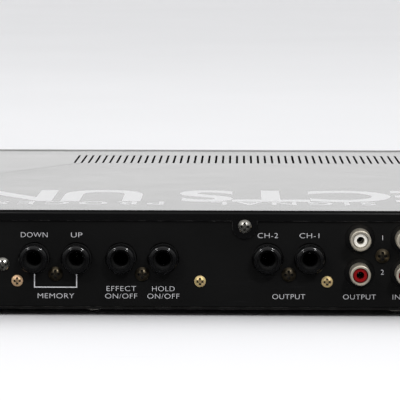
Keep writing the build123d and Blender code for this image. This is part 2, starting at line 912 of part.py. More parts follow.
with BuildPart() as phono_insert:
    with BuildSketch(Plane.XY):
        Circle(phono_shell_d / 2 - phono_shell_wall - insert_fit)
        Circle(phono_bore / 2, mode=Mode.SUBTRACT)
    extrude(amount=phono_end - insert_back - shell_root + phono_seat)
    mouth_edge = phono_insert.faces().sort_by(Axis.Z)[-1].outer_wire().edges()
    chamfer(mouth_edge, phono_edge)
for colour, level in (("white", 1), ("red", -1)):
    seats = [(x, z) for x, z in phono_places if (z - phono_z) * level > 0]
    places = [facing(x, shell_root - phono_seat, z, BACK) for x, z in seats]
    group(f"phono_inserts_{colour}", [place * phono_insert.part for place in places])

# ---------------------------------------------------------------- five-pin data sockets
with BuildPart() as midi_socket:
    with BuildSketch(Plane.XY):
        RectangleRounded(midi_body_width, midi_body_width, midi_corner)
    extrude(amount=-midi_depth)
    with BuildSketch(Plane.XY):
        Rectangle(midi_screw_pitch + 2 * midi_ear, midi_flange_height)
    extrude(amount=-midi_flange)
    with BuildSketch(Plane.XY):
        Circle(midi_hole_d / 2 - midi_hole_gap)
    extrude(amount=rear_steel + midi_proud)
    with BuildSketch(Plane.XY.offset(rear_steel + midi_proud)):
        Circle(midi_plug_d / 2)
        Circle(midi_core_d / 2, mode=Mode.SUBTRACT)
    extrude(amount=-midi_slot_depth, mode=Mode.SUBTRACT)
    with BuildSketch(Plane.XY.offset(rear_steel + midi_proud)):
        with PolarLocations(midi_pin_circle / 2, 5, start_angle=-180, angular_range=180, endpoint=True):
            Circle(midi_pin_d / 2)
    extrude(amount=-midi_pin_depth, mode=Mode.SUBTRACT)
    with BuildSketch(Plane.XY):
        with GridLocations(midi_screw_pitch, 1, 2, 1):
            Circle((m3 + thread_gap) / 2)
    extrude(amount=-midi_flange, mode=Mode.SUBTRACT)
midi_xs = (midi_in_x, midi_thru_x)


def upright(x, y, z):
    """The place of a socket that looks out of the rear panel, the right way up."""
    return Plane(origin=(x, y, z), x_dir=(-1, 0, 0), z_dir=BACK).location


group("midi_sockets", [upright(x, rear_in, midi_z) * midi_socket.part for x in midi_xs])
midi_screw_places = [
    facing(x + s * midi_screw_pitch / 2, rear_out, midi_z, BACK) for x in midi_xs for s in (-1, 1)
]
group("midi_screws", [place * pan_screw for place in midi_screw_places])

# ---------------------------------------------------------------- mains inlet
inlet_core_w = inlet_cavity_width + 2 * inlet_wall
inlet_core_h = inlet_cavity_height + 2 * inlet_wall
with BuildPart() as mains_inlet:
    with BuildSketch(Plane.XY):
        RectangleRounded(inlet_flange_width, inlet_flange_height, inlet_corner)
    extrude(amount=inlet_flange_thickness)
    fillet(mains_inlet.faces().sort_by(Axis.Z)[-1].edges(), inlet_edge)
    with BuildSketch(Plane.XY.offset(inlet_flange_thickness)):
        Rectangle(inlet_core_w, inlet_core_h)
    extrude(amount=-(inlet_cavity_depth + inlet_back))
    with BuildSketch(Plane.XY.offset(inlet_flange_thickness)) as mouth:
        Rectangle(inlet_cavity_width, inlet_cavity_height)
        chamfer(mouth.vertices().group_by(Axis.Y)[-1], inlet_key)
    extrude(amount=-inlet_cavity_depth, mode=Mode.SUBTRACT)
    for side in (-1, 1):
        with Locations(Plane(origin=(side * inlet_screw_pitch / 2, 0, inlet_flange_thickness))):
            CounterSinkHole(m3_clear / 2, pan_head_d / 2 + sink_gap, counter_sink_angle=90)
save(upright(inlet_x, rear_out, inlet_z) * mains_inlet.part, "mains_inlet")

inlet_floor = inlet_face - inlet_cavity_depth
inlet_pins = []
pin_x, pin_z = inlet_pin_thickness / 2, inlet_pin_height / 2
for across, up in ((-1, -1), (1, -1), (0, 1)):
    x, z = inlet_x + across * inlet_pin_spread, inlet_z + up * inlet_pin_step
    inlet_pins.append(
        lone_block((x - pin_x, inlet_floor, z - pin_z), (x + pin_x, rear_out - inlet_pin_sink, z + pin_z))
    )
group("inlet_pins", inlet_pins)

# ---------------------------------------------------------------- level switch
with BuildPart() as level_frame:
    body_x, body_z = level_body_width / 2, level_body_height / 2
    block(
        (level_x - body_x, rear_in - level_body_depth, level_z - body_z),
        (level_x + body_x, rear_in, level_z + body_z),
    )
    plate_x = level_screw_pitch / 2 + level_ear
    block(
        (level_x - plate_x, rear_in - level_plate, level_z - level_ear),
        (level_x + plate_x, rear_in, level_z + level_ear),
    )
    channel = (level_knob + level_travel) / 2 + level_lip + level_clear
    channel_z = level_slide_height / 2 + level_clear
    channel_back = level_front + level_slide_thickness + 2 * level_clear
    block(
        (level_x - channel, rear_in - channel_back, level_z - channel_z),
        (level_x + channel, rear_in - level_front, level_z + channel_z),
        mode=Mode.SUBTRACT,
    )
    opening = (level_knob + level_travel) / 2 + level_clear
    block(
        (level_x - opening, rear_in - level_front, level_z - level_knob / 2 - level_clear),
        (level_x + opening, rear_in, level_z + level_knob / 2 + level_clear),
        mode=Mode.SUBTRACT,
    )
    with BuildSketch(wall(rear_in)):
        with Locations((level_x, level_z)):
            with GridLocations(level_screw_pitch, 1, 2, 1):
                Circle((m2 + thread_gap) / 2)
    extrude(amount=level_plate, mode=Mode.SUBTRACT)
save(level_frame.part, "level_switch_frame")

knob_side = level_x - level_travel / 2
with BuildPart() as level_slider:
    slide_x, slide_z = level_knob / 2 + level_lip, level_slide_height / 2
    slide_front = rear_in - level_front - level_clear
    block(
        (knob_side - slide_x, slide_front - level_slide_thickness, level_z - slide_z),
        (knob_side + slide_x, slide_front, level_z + slide_z),
    )
    block(
        (knob_side - level_knob / 2, slide_front, level_z - level_knob / 2),
        (knob_side + level_knob / 2, rear_out + level_knob_height, level_z + level_knob / 2),
    )
    chamfer(level_slider.faces().sort_by(Axis.Y)[-1].edges(), level_edge)
save(level_slider.part, "level_switch_slider")
level_screw = machine_screw(level_head_d, level_head_h, level_screw_length, m2)
group(
    "level_switch_screws",
    [
        facing(level_x + side * level_screw_pitch / 2, rear_out, level_z, BACK) * level_screw
        for side in (-1, 1)
    ],
)

# ---------------------------------------------------------------- boards
small_screw_length = rear_steel + bracket_thickness
brackets = []
for x in bracket_xs:
    with BuildPart() as bracket:
        half = bracket_width / 2
        foot_z = board_under - bracket_thickness
        block((x - half, rear_in - bracket_thickness, foot_z), (x + half, rear_in, bracket_z + bracket_rise))
        block((x - half, rear_in - bracket_reach, foot_z), (x + half, rear_in, board_under))
        with BuildSketch(wall(rear_in)):
            with Locations((x, bracket_z)):
                Circle((m3 + thread_gap) / 2)
        extrude(amount=bracket_thickness, mode=Mode.SUBTRACT)
    brackets.append(bracket.part)
group("board_brackets", brackets)
small_screw = machine_screw(small_head_d, small_head_h, small_screw_length)
group("bracket_screws", [facing(x, rear_out, bracket_z, BACK) * small_screw for x in bracket_xs])

with BuildPart() as main_board:
    block((main_left, main_front, board_under), (main_right, main_rear, board_top))
    notch = half_x + notch_gap
    block(
        (phono_x - notch, rear_in - phono_block_depth - notch_gap, board_under),
        (phono_x + notch, main_rear, board_top),
        mode=Mode.SUBTRACT,
    )
    for x, y in main_standoffs:
        with Locations((x, y, board_under)):
            Cylinder(m3_clear / 2, 4 * board, mode=Mode.SUBTRACT)
save(main_board.part, "main_board")

with BuildPart() as power_board:
    block(
        (power_left, power_front, board_under),
        (power_right, power_front + power_depth, board_top),
    )
    for x, y in power_standoffs:
        with Locations((x, y, board_under)):
            Cylinder(m3_clear / 2, 4 * board, mode=Mode.SUBTRACT)
save(power_board.part, "power_board")

with BuildPart() as standoff:
    with BuildSketch(Plane.XY):
        RegularPolygon(standoff_d / 2, 6)
    extrude(amount=board_under - pan_top)
    with BuildSketch(Plane.XY.offset(board_under - pan_top)):
        Circle(m3 / 2)
    extrude(amount=board + stud_proud)
    with BuildSketch(Plane.XY):
        Circle(m3 / 2)
    extrude(amount=-steel)
standoff_places = main_standoffs + power_standoffs
group("board_standoffs", [Location((x, y, pan_top)) * standoff.part for x, y in standoff_places])


def chip(x, y, length, width):
    """A chip on the main board, with a pin-one notch in its end."""
    top = board_top + chip_height
    with BuildPart() as package:
        block((x - length / 2, y - width / 2, board_top), (x + length / 2, y + width / 2, top))
        with Locations((x - length / 2, y, top)):
            Cylinder(chip_notch_d / 2, 2 * chip_notch_depth, mode=Mode.SUBTRACT)
    return package.part


main_middle = (main_left + main_right) / 2
small_cap_y = main_rear - small_cap_inset
first_chip_y = main_front + first_chip_inset
chip_pitch_y = (small_cap_y - last_chip_gap - first_chip_y) / (chip_rows - 1)
chip_pitch_x = (main_right - main_left) / (chip_columns + 2)
chips = []
for column in range(chip_columns):
    for row in range(chip_rows):
        x = main_middle + (column - (chip_columns - 1) / 2) * chip_pitch_x
        y = first_chip_y + row * chip_pitch_y
        size = long_chip_size if (column + row) % 3 == 0 else short_chip_size
        chips.append(chip(x, y, *size))
group("main_board_chips", chips)

capacitors = []
for i in range(small_cap_count):
    x = main_middle + (i - (small_cap_count - 1) / 2) * small_cap_pitch
    capacitors.append(rod(x, small_cap_y, board_top, UP, small_cap_d, small_cap_height))
filter_y = power_front + power_depth - filter_inset
for i in range(filter_count):
    x = power_left + filter_side + i * (filter_d + filter_gap)
    capacitors.append(rod(x, filter_y, board_top, UP, filter_d, filter_height))
group("capacitors", capacitors)

with BuildPart() as heatsink:
    sink_left = power_left + sink_side
    sink_y = power_front + sink_inset
    sink_top = board_top + sink_height
    block((sink_left, sink_y, board_top), (sink_left + sink_width, sink_y + sink_plate, sink_top))
    for i in range(fin_count):
        x = sink_left + i * (sink_width - fin_thickness) / (fin_count - 1)
        block((x, sink_y - fin_depth, board_top), (x + fin_thickness, sink_y, sink_top))
save(heatsink.part, "heatsink")

regulators = []
regulator_base = board_top + regulator_lift
for i in range(regulator_count):
    x = sink_left + regulator_side + i * regulator_pitch
    half = regulator_width / 2
    face = sink_y + sink_plate
    low = (x - half, face, regulator_base)
    high = (x + half, face + regulator_thickness, regulator_base + regulator_height)
    regulators.append(lone_block(low, high))
group("regulators", regulators)

fuse_x = power_left + fuse_side
fuse_y = power_front + power_depth - fuse_inset
with BuildPart() as fuse:
    with BuildSketch(Plane(origin=(fuse_x + clip_end, fuse_y, board_top + fuse_lift), z_dir=(1, 0, 0))):
        Circle(fuse_d / 2)
    extrude(amount=fuse_length)
    for x in (fuse_x, fuse_x + clip_pitch):
        block(
            (x, fuse_y - clip_depth / 2, board_top),
            (x + clip_width, fuse_y + clip_depth / 2, board_top + clip_height),
        )
save(fuse.part, "fuse")

# ---------------------------------------------------------------- transformer
core_x = power_left + (wall_half - core_wall_gap - power_left) / 2
core_y = (power_front + power_depth + foot_rear_y - foot_peg_d / 2) / 2
core_low = pan_top + (coil_height - core_height) / 2
with BuildPart() as transformer_core:
    block(
        (core_x - core_width / 2, core_y - core_depth / 2, core_low),
        (core_x + core_width / 2, core_y + core_depth / 2, core_low + core_height),
    )
    for side in (-1, 1):
        middle = core_x + side * (limb + window_across) / 2
        block(
            (middle - window_across / 2, core_y - window_depth / 2, core_low),
            (middle + window_across / 2, core_y + window_depth / 2, core_low + core_height),
            mode=Mode.SUBTRACT,
        )
        foot_x = core_x + side * (core_width - core_foot_width) / 2
        block(
            (foot_x - core_foot_width / 2, core_y - core_foot_depth / 2, pan_top),
            (foot_x + core_foot_width / 2, core_y + core_foot_depth / 2, core_low),
        )
save(transformer_core.part, "transformer_core")

with BuildPart() as transformer_coil:
    coil_half = limb / 2 + window_across - coil_side_gap
    coil_front, coil_back = core_y - coil_depth / 2, core_y + coil_depth / 2
    block(
        (core_x - coil_half, coil_front, pan_top + coil_gap),
        (core_x + coil_half, coil_back, pan_top + coil_height - coil_gap),
    )
    limb_half = limb / 2 + coil_gap
    block(
        (core_x - limb_half, coil_front, core_low - coil_gap),
        (core_x + limb_half, coil_back, core_low + core_height + coil_gap),
        mode=Mode.SUBTRACT,
    )
    fillet(transformer_coil.edges().filter_by(Axis.Y).group_by(Axis.Z)[-1], coil_round)
save(transformer_coil.part, "transformer_coil")

# ---------------------------------------------------------------- display
with BuildPart() as display_window:
    pane_x, pane_z = window_width / 2 - window_gap, window_height / 2 - window_gap
    block(
        (window_x - pane_x, -panel_thickness + window_recess, -pane_z),
        (window_x + pane_x, 0, pane_z),
    )
save(display_window.part, "display_window")

module_half = window_width / 2 - window_lip + module_lap
module_rise = window_height / 2 - window_lip + module_lap
with BuildPart() as display_module:
    module_back = sub_back + module_depth
    block(
        (window_x - module_half, sub_back, -module_rise),
        (window_x + module_half, module_back, module_rise),
    )
    glass_half = window_width / 2 - window_lip - module_gap
    glass_rise = window_height / 2 - window_lip - module_gap
    block(
        (window_x - glass_half, sub_back - glass_proud, -glass_rise),
        (window_x + glass_half, sub_back, glass_rise),
    )
    block(
        (window_x - module_half - module_board_side, module_back, -module_rise - module_board_rise),
        (window_x + module_half + module_board_side, module_back + board, module_rise + module_board_rise),
    )
save(display_module.part, "display_module")


# ---------------------------------------------------------------- keys
def key(x, z):
    """A push key: a cap in the panel's hole, a flange behind the sub-panel and a stem into its switch."""
    flange_front = sub_back + key_seat_gap
    flange_back = flange_front + key_flange_thickness
    with BuildPart() as body:
        block(
            (x - key_width / 2, -panel_thickness - key_proud, z - key_height / 2),
            (x + key_width / 2, flange_front, z + key_height / 2),
        )
        cap_edges = body.faces().sort_by(Axis.Y)[0].edges()
        fillet(cap_edges, key_edge)
        block(
            (x - key_width / 2 - key_flange, flange_front, z - key_height / 2 - key_flange),
            (x + key_width / 2 + key_flange, flange_back, z + key_height / 2 + key_flange),
        )
        with BuildSketch(Plane(origin=(x, flange_back, z), z_dir=BACK)):
            Circle(key_stem_d / 2)
        extrude(amount=key_board_y - switch_body - flange_back + key_stem_grip)
    return body.part


key_names = [
    "key_effect",
    "key_hold",
    "key_memory_down",
    "key_memory_up",
    "key_edit",
    "key_store",
    "key_value_down",
    "key_value_up",
]
for name, (x, z) in zip(key_names, key_places):
    save(key(x, z), name)

switches = []
for x, z in key_places:
    with BuildPart() as tact:
        switch_front = key_board_y - switch_body
        half = switch_size / 2
        block((x - half, switch_front, z - half), (x + half, key_board_y, z + half))
        with BuildSketch(Plane(origin=(x, switch_front, z), z_dir=BACK)):
            Circle(key_stem_d / 2 + key_hole_gap)
        extrude(amount=key_stem_grip + key_travel + key_hole_gap, mode=Mode.SUBTRACT)
    switches.append(tact.part)
group("tact_switches", switches)

key_board_half_x = (key_columns - 1) / 2 * key_pitch_x + key_board_side
key_board_half_z = panel_height / 2 - pan_rise - steel - sub_steel - key_board_gap
with BuildPart() as key_board:
    block(
        (key_x - key_board_half_x, key_board_y, -key_board_half_z),
        (key_x + key_board_half_x, key_board_y + board, key_board_half_z),
    )
    for sx in (-1, 1):
        post_x = key_x + sx * (key_board_half_x - post_side)
        with BuildSketch(Plane(origin=(post_x, sub_back, 0), z_dir=BACK)):
            Circle(post_d / 2)
        extrude(amount=key_board_y - sub_back)
save(key_board.part, "key_board")

# ---------------------------------------------------------------- knobs and their potentiometers
bushing_front = -panel_thickness - pot_nut_height - bushing_proud
shaft_back = sub_back + bushing_depth
pots = []
for x in knob_xs:
    with BuildPart() as pot:
        with BuildSketch(wall(sub_back + pot_body_depth)):
            with Locations((x, 0)):
                Circle(pot_body_d / 2)
        extrude(amount=pot_body_depth)
        with BuildSketch(wall(sub_back)):
            with Locations((x, 0)):
                Circle(bushing_d / 2)
        extrude(amount=sub_back - bushing_front)
        with BuildSketch(wall(shaft_back)):
            with Locations((x, 0)):
                Circle(shaft_d / 2 + shaft_gap)
        extrude(amount=shaft_back - bushing_front, mode=Mode.SUBTRACT)
    pots.append(pot.part)
    with BuildPart() as nut:
        with BuildSketch(wall(-panel_thickness)):
            with Locations((x, 0)):
                RegularPolygon(pot_nut_width / 2, 6)
                Circle((bushing_d + thread_gap) / 2, mode=Mode.SUBTRACT)
        extrude(amount=pot_nut_height)
    pots.append(nut.part)
group("potentiometers", pots)

flat_half = sqrt((shaft_d / 2) ** 2 - shaft_flat**2) + flat_fit / 2
flat_top = shaft_d / 2 + flat_fit / 2
knob_back = -panel_thickness - knob_gap
knob_front = knob_back - knob_length
shaft_front = bushing_front - shaft_length
flat_back = bushing_front - flat_start
for label, x in zip(("input_1", "input_2", "mix"), knob_xs):
    with BuildPart() as shaft:
        with BuildSketch(wall(shaft_back)):
            with Locations((x, 0)):
                Circle(shaft_d / 2)
        extrude(amount=shaft_back - shaft_front)
        block((x - shaft_d, shaft_front, shaft_flat), (x + shaft_d, flat_back, shaft_d), mode=Mode.SUBTRACT)
    save(shaft.part, f"shaft_{label}")
    with BuildPart() as knob:
        with BuildSketch(wall(knob_back)):
            with Locations((x, 0)):
                Circle(knob_d / 2)
        extrude(amount=knob_length)
        fillet(knob.faces().sort_by(Axis.Y)[0].edges(), knob_edge)
        with BuildSketch(wall(knob_back)):
            with Locations((x, 0)):
                Circle(pot_nut_width / 2 + knob_sink_gap)
        extrude(amount=knob_back - bushing_front + knob_sink_gap, mode=Mode.SUBTRACT)
        with BuildSketch(wall(knob_back)):
            with Locations((x, 0)):
                Circle(shaft_d / 2)
        extrude(amount=knob_back - shaft_front, mode=Mode.SUBTRACT)
        block((x - flat_half, shaft_front, shaft_flat), (x + flat_half, flat_back, flat_top))
        block(
            (x - pointer_width / 2, knob_front, knob_d / 2 - pointer_length),
            (x + pointer_width / 2, knob_front + pointer_depth, knob_d / 2),
            mode=Mode.SUBTRACT,
        )
    save(knob.part, f"knob_{label}")

# ---------------------------------------------------------------- power button
with BuildPart() as power_button:
    half = power_cap / 2
    cap_back = sub_back + power_seat
    block((power_x - half, -panel_thickness - power_proud, -half), (power_x + half, cap_back, half))
    fillet(power_button.faces().sort_by(Axis.Y)[0].edges(), power_edge)
    stem = power_stem / 2
    stem_back = sub_back + power_stem_end
    block((power_x - stem, cap_back, -stem), (power_x + stem, stem_back, stem))
save(power_button.part, "power_button")

switch_front = sub_back + power_body_front
with BuildPart() as power_switch:
    half = power_body_width / 2
    block(
        (power_x - half, switch_front, -half),
        (power_x + half, switch_front + power_body_depth, half),
    )
    hole = power_stem / 2 + power_stem_gap
    block(
        (power_x - hole, switch_front, -hole),
        (power_x + hole, stem_back + power_travel + power_end_gap, hole),
        mode=Mode.SUBTRACT,
    )
    for side in (-1, 1):
        ear = sorted((power_x + side * half, power_x + side * (half + power_ear)))
        block(
            (ear[0], sub_back, -power_ear_height / 2),
            (ear[1], switch_front + power_ear_depth, power_ear_height / 2),
        )
save(power_switch.part, "power_switch")

with BuildPart() as power_led:
    with BuildSketch(wall(sub_back + led_back)):
        with Locations((led_x, 0)):
            Circle(led_d / 2)
    extrude(amount=sub_back + led_back + panel_thickness + led_proud)
    fillet(power_led.faces().sort_by(Axis.Y)[0].edges(), led_round)
    with BuildSketch(wall(sub_back + led_back + led_foot)):
        with Locations((led_x, 0)):
            Circle(led_d / 2 + led_base)
    extrude(amount=led_back + led_foot)
save(power_led.part, "power_led")

# ---------------------------------------------------------------- ribbon cable, from the keys to the main boa
ribbon_start = key_board_y + board
ribbon_left = key_x - ribbon_offset - ribbon_width / 2
ribbon_right = ribbon_left + ribbon_width
ribbon_end = main_front + plug_inset
with BuildPart() as ribbon_cable:
    with BuildSketch(Plane.YZ.offset(ribbon_left)):
        with BuildLine():
            FilletPolyline(
                (ribbon_start + plug_height / 2, 0),
                (ribbon_start + ribbon_run, 0),
                (main_front - ribbon_lead, board_top + ribbon_arch),
                (ribbon_end, board_top + ribbon_arch),
                (ribbon_end, board_top + plug_height / 2),
                radius=ribbon_turn,
            )
        trace(line_width=ribbon_thickness)
    extrude(amount=ribbon_width)
    half = plug_width / 2
    plug_left, plug_right = ribbon_left - plug_end, ribbon_right + plug_end
    block((plug_left, ribbon_start, -half), (plug_right, ribbon_start + plug_height, half))
    block(
        (plug_left, ribbon_end - half, board_top),
        (plug_right, ribbon_end + half, board_top + plug_height),
    )
save(ribbon_cable.part, "ribbon_cable")
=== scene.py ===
"""Looks for the rack effects unit: finishes, printed labels, knobs, display and a pale studio around it.

The frame's axes: +X to the right of someone facing the front panel, +Y back to the rear panel, +Z up.
Lengths are in metres. MM turns the sizes that are easier to read in millimetres into metres.
"""

import json
import math

import bmesh
import bpy
from mathutils import Matrix, Vector


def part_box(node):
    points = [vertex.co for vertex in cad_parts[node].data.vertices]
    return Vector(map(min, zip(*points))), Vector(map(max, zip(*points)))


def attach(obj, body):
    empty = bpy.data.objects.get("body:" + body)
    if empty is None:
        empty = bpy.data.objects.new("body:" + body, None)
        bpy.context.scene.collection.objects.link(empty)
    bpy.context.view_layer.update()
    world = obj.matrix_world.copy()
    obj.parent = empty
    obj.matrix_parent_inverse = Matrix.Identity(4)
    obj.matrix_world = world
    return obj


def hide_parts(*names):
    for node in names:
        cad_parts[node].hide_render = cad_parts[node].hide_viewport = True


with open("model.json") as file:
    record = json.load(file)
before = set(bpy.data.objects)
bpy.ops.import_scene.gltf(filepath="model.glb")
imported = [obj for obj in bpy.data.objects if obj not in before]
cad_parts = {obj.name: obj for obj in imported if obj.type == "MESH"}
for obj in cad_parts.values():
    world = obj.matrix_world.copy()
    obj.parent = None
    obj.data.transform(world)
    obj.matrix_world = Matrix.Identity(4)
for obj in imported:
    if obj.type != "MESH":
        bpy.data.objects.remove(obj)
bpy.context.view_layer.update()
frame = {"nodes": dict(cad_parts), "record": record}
nodes = frame["nodes"]
MM = 0.001

# ---------------------------------------------------------------- places taken from the frame
BASE_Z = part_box("front_panel")[0].z
FLOOR_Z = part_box("rubber_feet")[0].z
REAR_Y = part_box("rear_panel")[1].y
LID_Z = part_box("top_cover")[1].z
FRONT_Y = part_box("front_panel")[0].y
mounts = {mount["name"]: mount for mount in frame["record"]["mounts"]}


def centre(node):
    """The middle of a CAD node's box."""
    low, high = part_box(node)
    return (low + high) / 2


def mount_x(name):
    """How far right a mount's axis stands."""
    return mounts[name]["pos_m"][0]


# ---------------------------------------------------------------- node-tree helpers
def put(tree, kind, inputs=None, **settings):
    """Adds a shader node. Each input is a value, or the output that feeds it."""
    node = tree.nodes.new("ShaderNode" + kind)
    for key, value in settings.items():
        setattr(node, key, value)
    for key, value in (inputs or {}).items():
        if isinstance(value, bpy.types.NodeSocket):
            tree.links.new(value, node.inputs[key])
        else:
            node.inputs[key].default_value = value
    return node


def maths(tree, operation, first, second=0.0, clamp=False):
    """One sum on numbers or outputs."""
    return put(tree, "Math", {0: first, 1: second}, operation=operation, use_clamp=clamp).outputs[0]


def spread(tree, value, low, high, to_low=0.0, to_high=1.0):
    """Stretches a range of values to another range, and clamps it."""
    inputs = {"Value": value, "From Min": low, "From Max": high, "To Min": to_low, "To Max": to_high}
    return put(tree, "MapRange", inputs).outputs["Result"]


def effect(name, inputs, output):
    """Starts a group with named number inputs and one output, and gives what its nodes connect to."""
    group = bpy.data.node_groups.new(name, "ShaderNodeTree")
    for label, value in inputs.items():
        item = group.interface.new_socket(name=label, in_out="INPUT", socket_type="NodeSocketFloat")
        item.default_value = value
    group.interface.new_socket(name=output, in_out="OUTPUT", socket_type="NodeSocketFloat")
    given = group.nodes.new("NodeGroupInput").outputs
    result = group.nodes.new("NodeGroupOutput").inputs[0]
    place = put(group, "TexCoord").outputs["Object"]
    return group, given, result, place


def noise(tree, place, scale, detail=3.0, roughness=0.55):
    """Soft noise between 0 and 1 at a place."""
    inputs = {"Vector": place, "Scale": scale, "Detail": detail, "Roughness": roughness}
    return put(tree, "TexNoise", inputs).outputs[0]


def stretched(tree, place, scales, turn=0.0):
    """Coordinates squeezed more one way than another, for marks that run in a direction."""
    inputs = {"Vector": place, "Rotation": (0.0, turn, turn), "Scale": scales}
    return put(tree, "Mapping", inputs).outputs[0]


# ---------------------------------------------------------------- shared effects
def make_cloud():
    """Slow variation of a finish, as a factor around one."""
    group, given, result, place = effect("cloud", {"Scale": 30.0, "Spread": 0.15}, "Factor")
    soft = noise(group, place, given["Scale"], 4.0)
    low = maths(group, "SUBTRACT", 1.0, given["Spread"])
    high = maths(group, "ADD", 1.0, given["Spread"])
    group.links.new(spread(group, soft, 0.3, 0.7, low, high), result)
    return group


def make_grain():
    """Orange peel of sprayed paint, or the spark texture of a mould, as a height."""
    group, given, result, place = effect("grain", {"Scale": 1500.0}, "Height")
    fine = noise(group, place, given["Scale"], 2.0, 0.6)
    coarse = noise(group, place, maths(group, "MULTIPLY", given["Scale"], 0.23), 2.0)
    group.links.new(maths(group, "ADD", fine, maths(group, "MULTIPLY", coarse, 0.6)), result)
    return group


def make_edge_wear():
    """Where corners have rubbed through, broken up by noise, as a mask."""
    group, given, result, place = effect("edge_wear", {"Radius": 0.0004, "Amount": 0.5}, "Mask")
    rounded = put(group, "Bevel", {"Radius": given["Radius"]}, samples=4).outputs[0]
    flat = put(group, "NewGeometry").outputs["Normal"]
    facing = put(group, "VectorMath", {0: rounded, 1: flat}, operation="DOT_PRODUCT").outputs["Value"]
    corner = spread(group, facing, 0.995, 0.8)
    patchy = spread(group, noise(group, place, 260.0, 5.0, 0.7), 0.48, 0.62)
    worn = maths(group, "MULTIPLY", corner, patchy)
    group.links.new(maths(group, "MULTIPLY", worn, given["Amount"], clamp=True), result)
    return group


def make_recess_shade():
    """Painted shade in slots, recesses and roots, where an occlusion test finds the surface shut in, as a
    mask.
    """
    group, given, result, _ = effect("recess_shade", {"Reach": 0.001, "Amount": 0.9}, "Mask")
    open_sky = put(group, "AmbientOcclusion", {"Distance": given["Reach"]}, samples=8).outputs["AO"]
    shut_in = spread(group, open_sky, 0.76, 0.46)
    group.links.new(maths(group, "MULTIPLY", shut_in, given["Amount"], clamp=True), result)
    return group


def make_dust():
    """Fine dust that lies on what faces up, thicker in patches, as a mask."""
    group, given, result, place = effect("dust", {"Amount": 0.2, "Scale": 60.0}, "Mask")
    normal = put(group, "NewGeometry").outputs["Normal"]
    upward = spread(group, put(group, "SeparateXYZ", {0: normal}).outputs["Z"], 0.3, 0.95, 0.12, 1.0)
    patches = spread(group, noise(group, place, given["Scale"], 6.0, 0.7), 0.35, 0.75)
    specks = spread(group, noise(group, place, 2600.0, 1.0), 0.68, 0.74)
    lying = maths(group, "MULTIPLY", upward, maths(group, "ADD", patches, specks))
    group.links.new(maths(group, "MULTIPLY", lying, given["Amount"], clamp=True), result)
    return group


def make_scratches():
    """Hairline rubs in two directions, as a mask."""
    group, given, result, place = effect("scratches", {"Scale": 40.0, "Amount": 0.3}, "Mask")
    total = None
    for turn, squeeze in ((0.35, 45.0), (-1.1, 60.0)):
        lines = noise(group, stretched(group, place, (1.0, squeeze, squeeze), turn), given["Scale"], 2.0)
        thin = spread(group, lines, 0.70, 0.74)
        gate = spread(group, noise(group, place, maths(group, "MULTIPLY", given["Scale"], 0.7)), 0.5, 0.6)
        mask = maths(group, "MULTIPLY", thin, gate)
        total = mask if total is None else maths(group, "MAXIMUM", total, mask)
    group.links.new(maths(group, "MULTIPLY", total, given["Amount"], clamp=True), result)
    return group


def make_tool_marks():
    """Fine lines that run across the piece, left by rolling or turning, as a height."""
    group, given, result, place = effect("tool_marks", {"Scale": 900.0, "Along": 0.02}, "Height")
    along = put(group, "CombineXYZ", {"X": given["Along"], "Y": 1.0, "Z": 1.0}).outputs[0]
    squeezed = put(group, "Mapping", {"Vector": place, "Scale": along}).outputs[0]
    group.links.new(noise(group, squeezed, given["Scale"], 3.0), result)
    return group


def make_smudges():
    """Finger marks and wiped patches, as a change of roughness around nought."""
    group, given, result, place = effect("smudges", {"Scale": 45.0, "Amount": 0.1}, "Change")
    warped = noise(group, stretched(group, place, (1.0, 1.7, 1.2), 0.6), given["Scale"], 7.0, 0.65)
    change = spread(group, warped, 0.3, 0.7, -1.0, 1.0)
    group.links.new(maths(group, "MULTIPLY", change, given["Amount"]), result)
    return group


effects = {
    "cloud": make_cloud(),
    "grain": make_grain(),
    "edge_wear": make_edge_wear(),
    "recess_shade": make_recess_shade(),
    "dust": make_dust(),
    "scratches": make_scratches(),
    "tool_marks": make_tool_marks(),
    "smudges": make_smudges(),
}


def use(tree, name, **values):
    """Places a shared effect in a material with its own values, and gives its output."""
    node = tree.nodes.new("ShaderNodeGroup")
    node.node_tree = effects[name]
    for label, value in values.items():
        node.inputs[label].default_value = value
    return node.outputs[0]


# ---------------------------------------------------------------- building materials
def new_material(name, **constants):
    """A material with one Principled shader, its plain values set on the shader's own sockets."""
    material = bpy.data.materials.new(name)
    material.use_nodes = True
    tree = material.node_tree
    shader = tree.nodes["Principled BSDF"]
    for label, value in constants.items():
        shader.inputs[label.replace("_", " ")].default_value = value
    return material, tree, shader


def tint(tree, colour, factor):
    """A colour made lighter or darker by a factor that changes over the surface."""
    scaled = put(tree, "VectorMath", {0: colour[:3], "Scale": factor}, operation="SCALE")
    return scaled.outputs["Vector"]


def blend(tree, under, over, mask):
    """One colour over another where the mask is."""
    mix = put(tree, "Mix", {"Factor": mask}, data_type="RGBA")
    for socket, value in ((mix.inputs[6], under), (mix.inputs[7], over)):
        if isinstance(value, bpy.types.NodeSocket):
            tree.links.new(value, socket)
        else:
            socket.default_value = (*value[:3], 1.0)
    return mix.outputs[2]


def bump(tree, shader, height, depth):
    """Raises the surface by a height map, depth metres from its lowest to its highest."""
    node = put(tree, "Bump", {"Height": height, "Distance": depth, "Strength": 1.0})
    tree.links.new(node.outputs[0], shader.inputs["Normal"])


def feed(tree, shader, colour=None, roughness=None, metallic=None):
    """Connects what changes over the surface to the shader."""
    for label, source in (("Base Color", colour), ("Roughness", roughness), ("Metallic", metallic)):
        if source is not None:
            tree.links.new(source, shader.inputs[label])


DUST = (0.30, 0.29, 0.27)
BARE_STEEL = (0.33, 0.32, 0.31)
DULL_ALUMINIUM = (0.62, 0.62, 0.61)


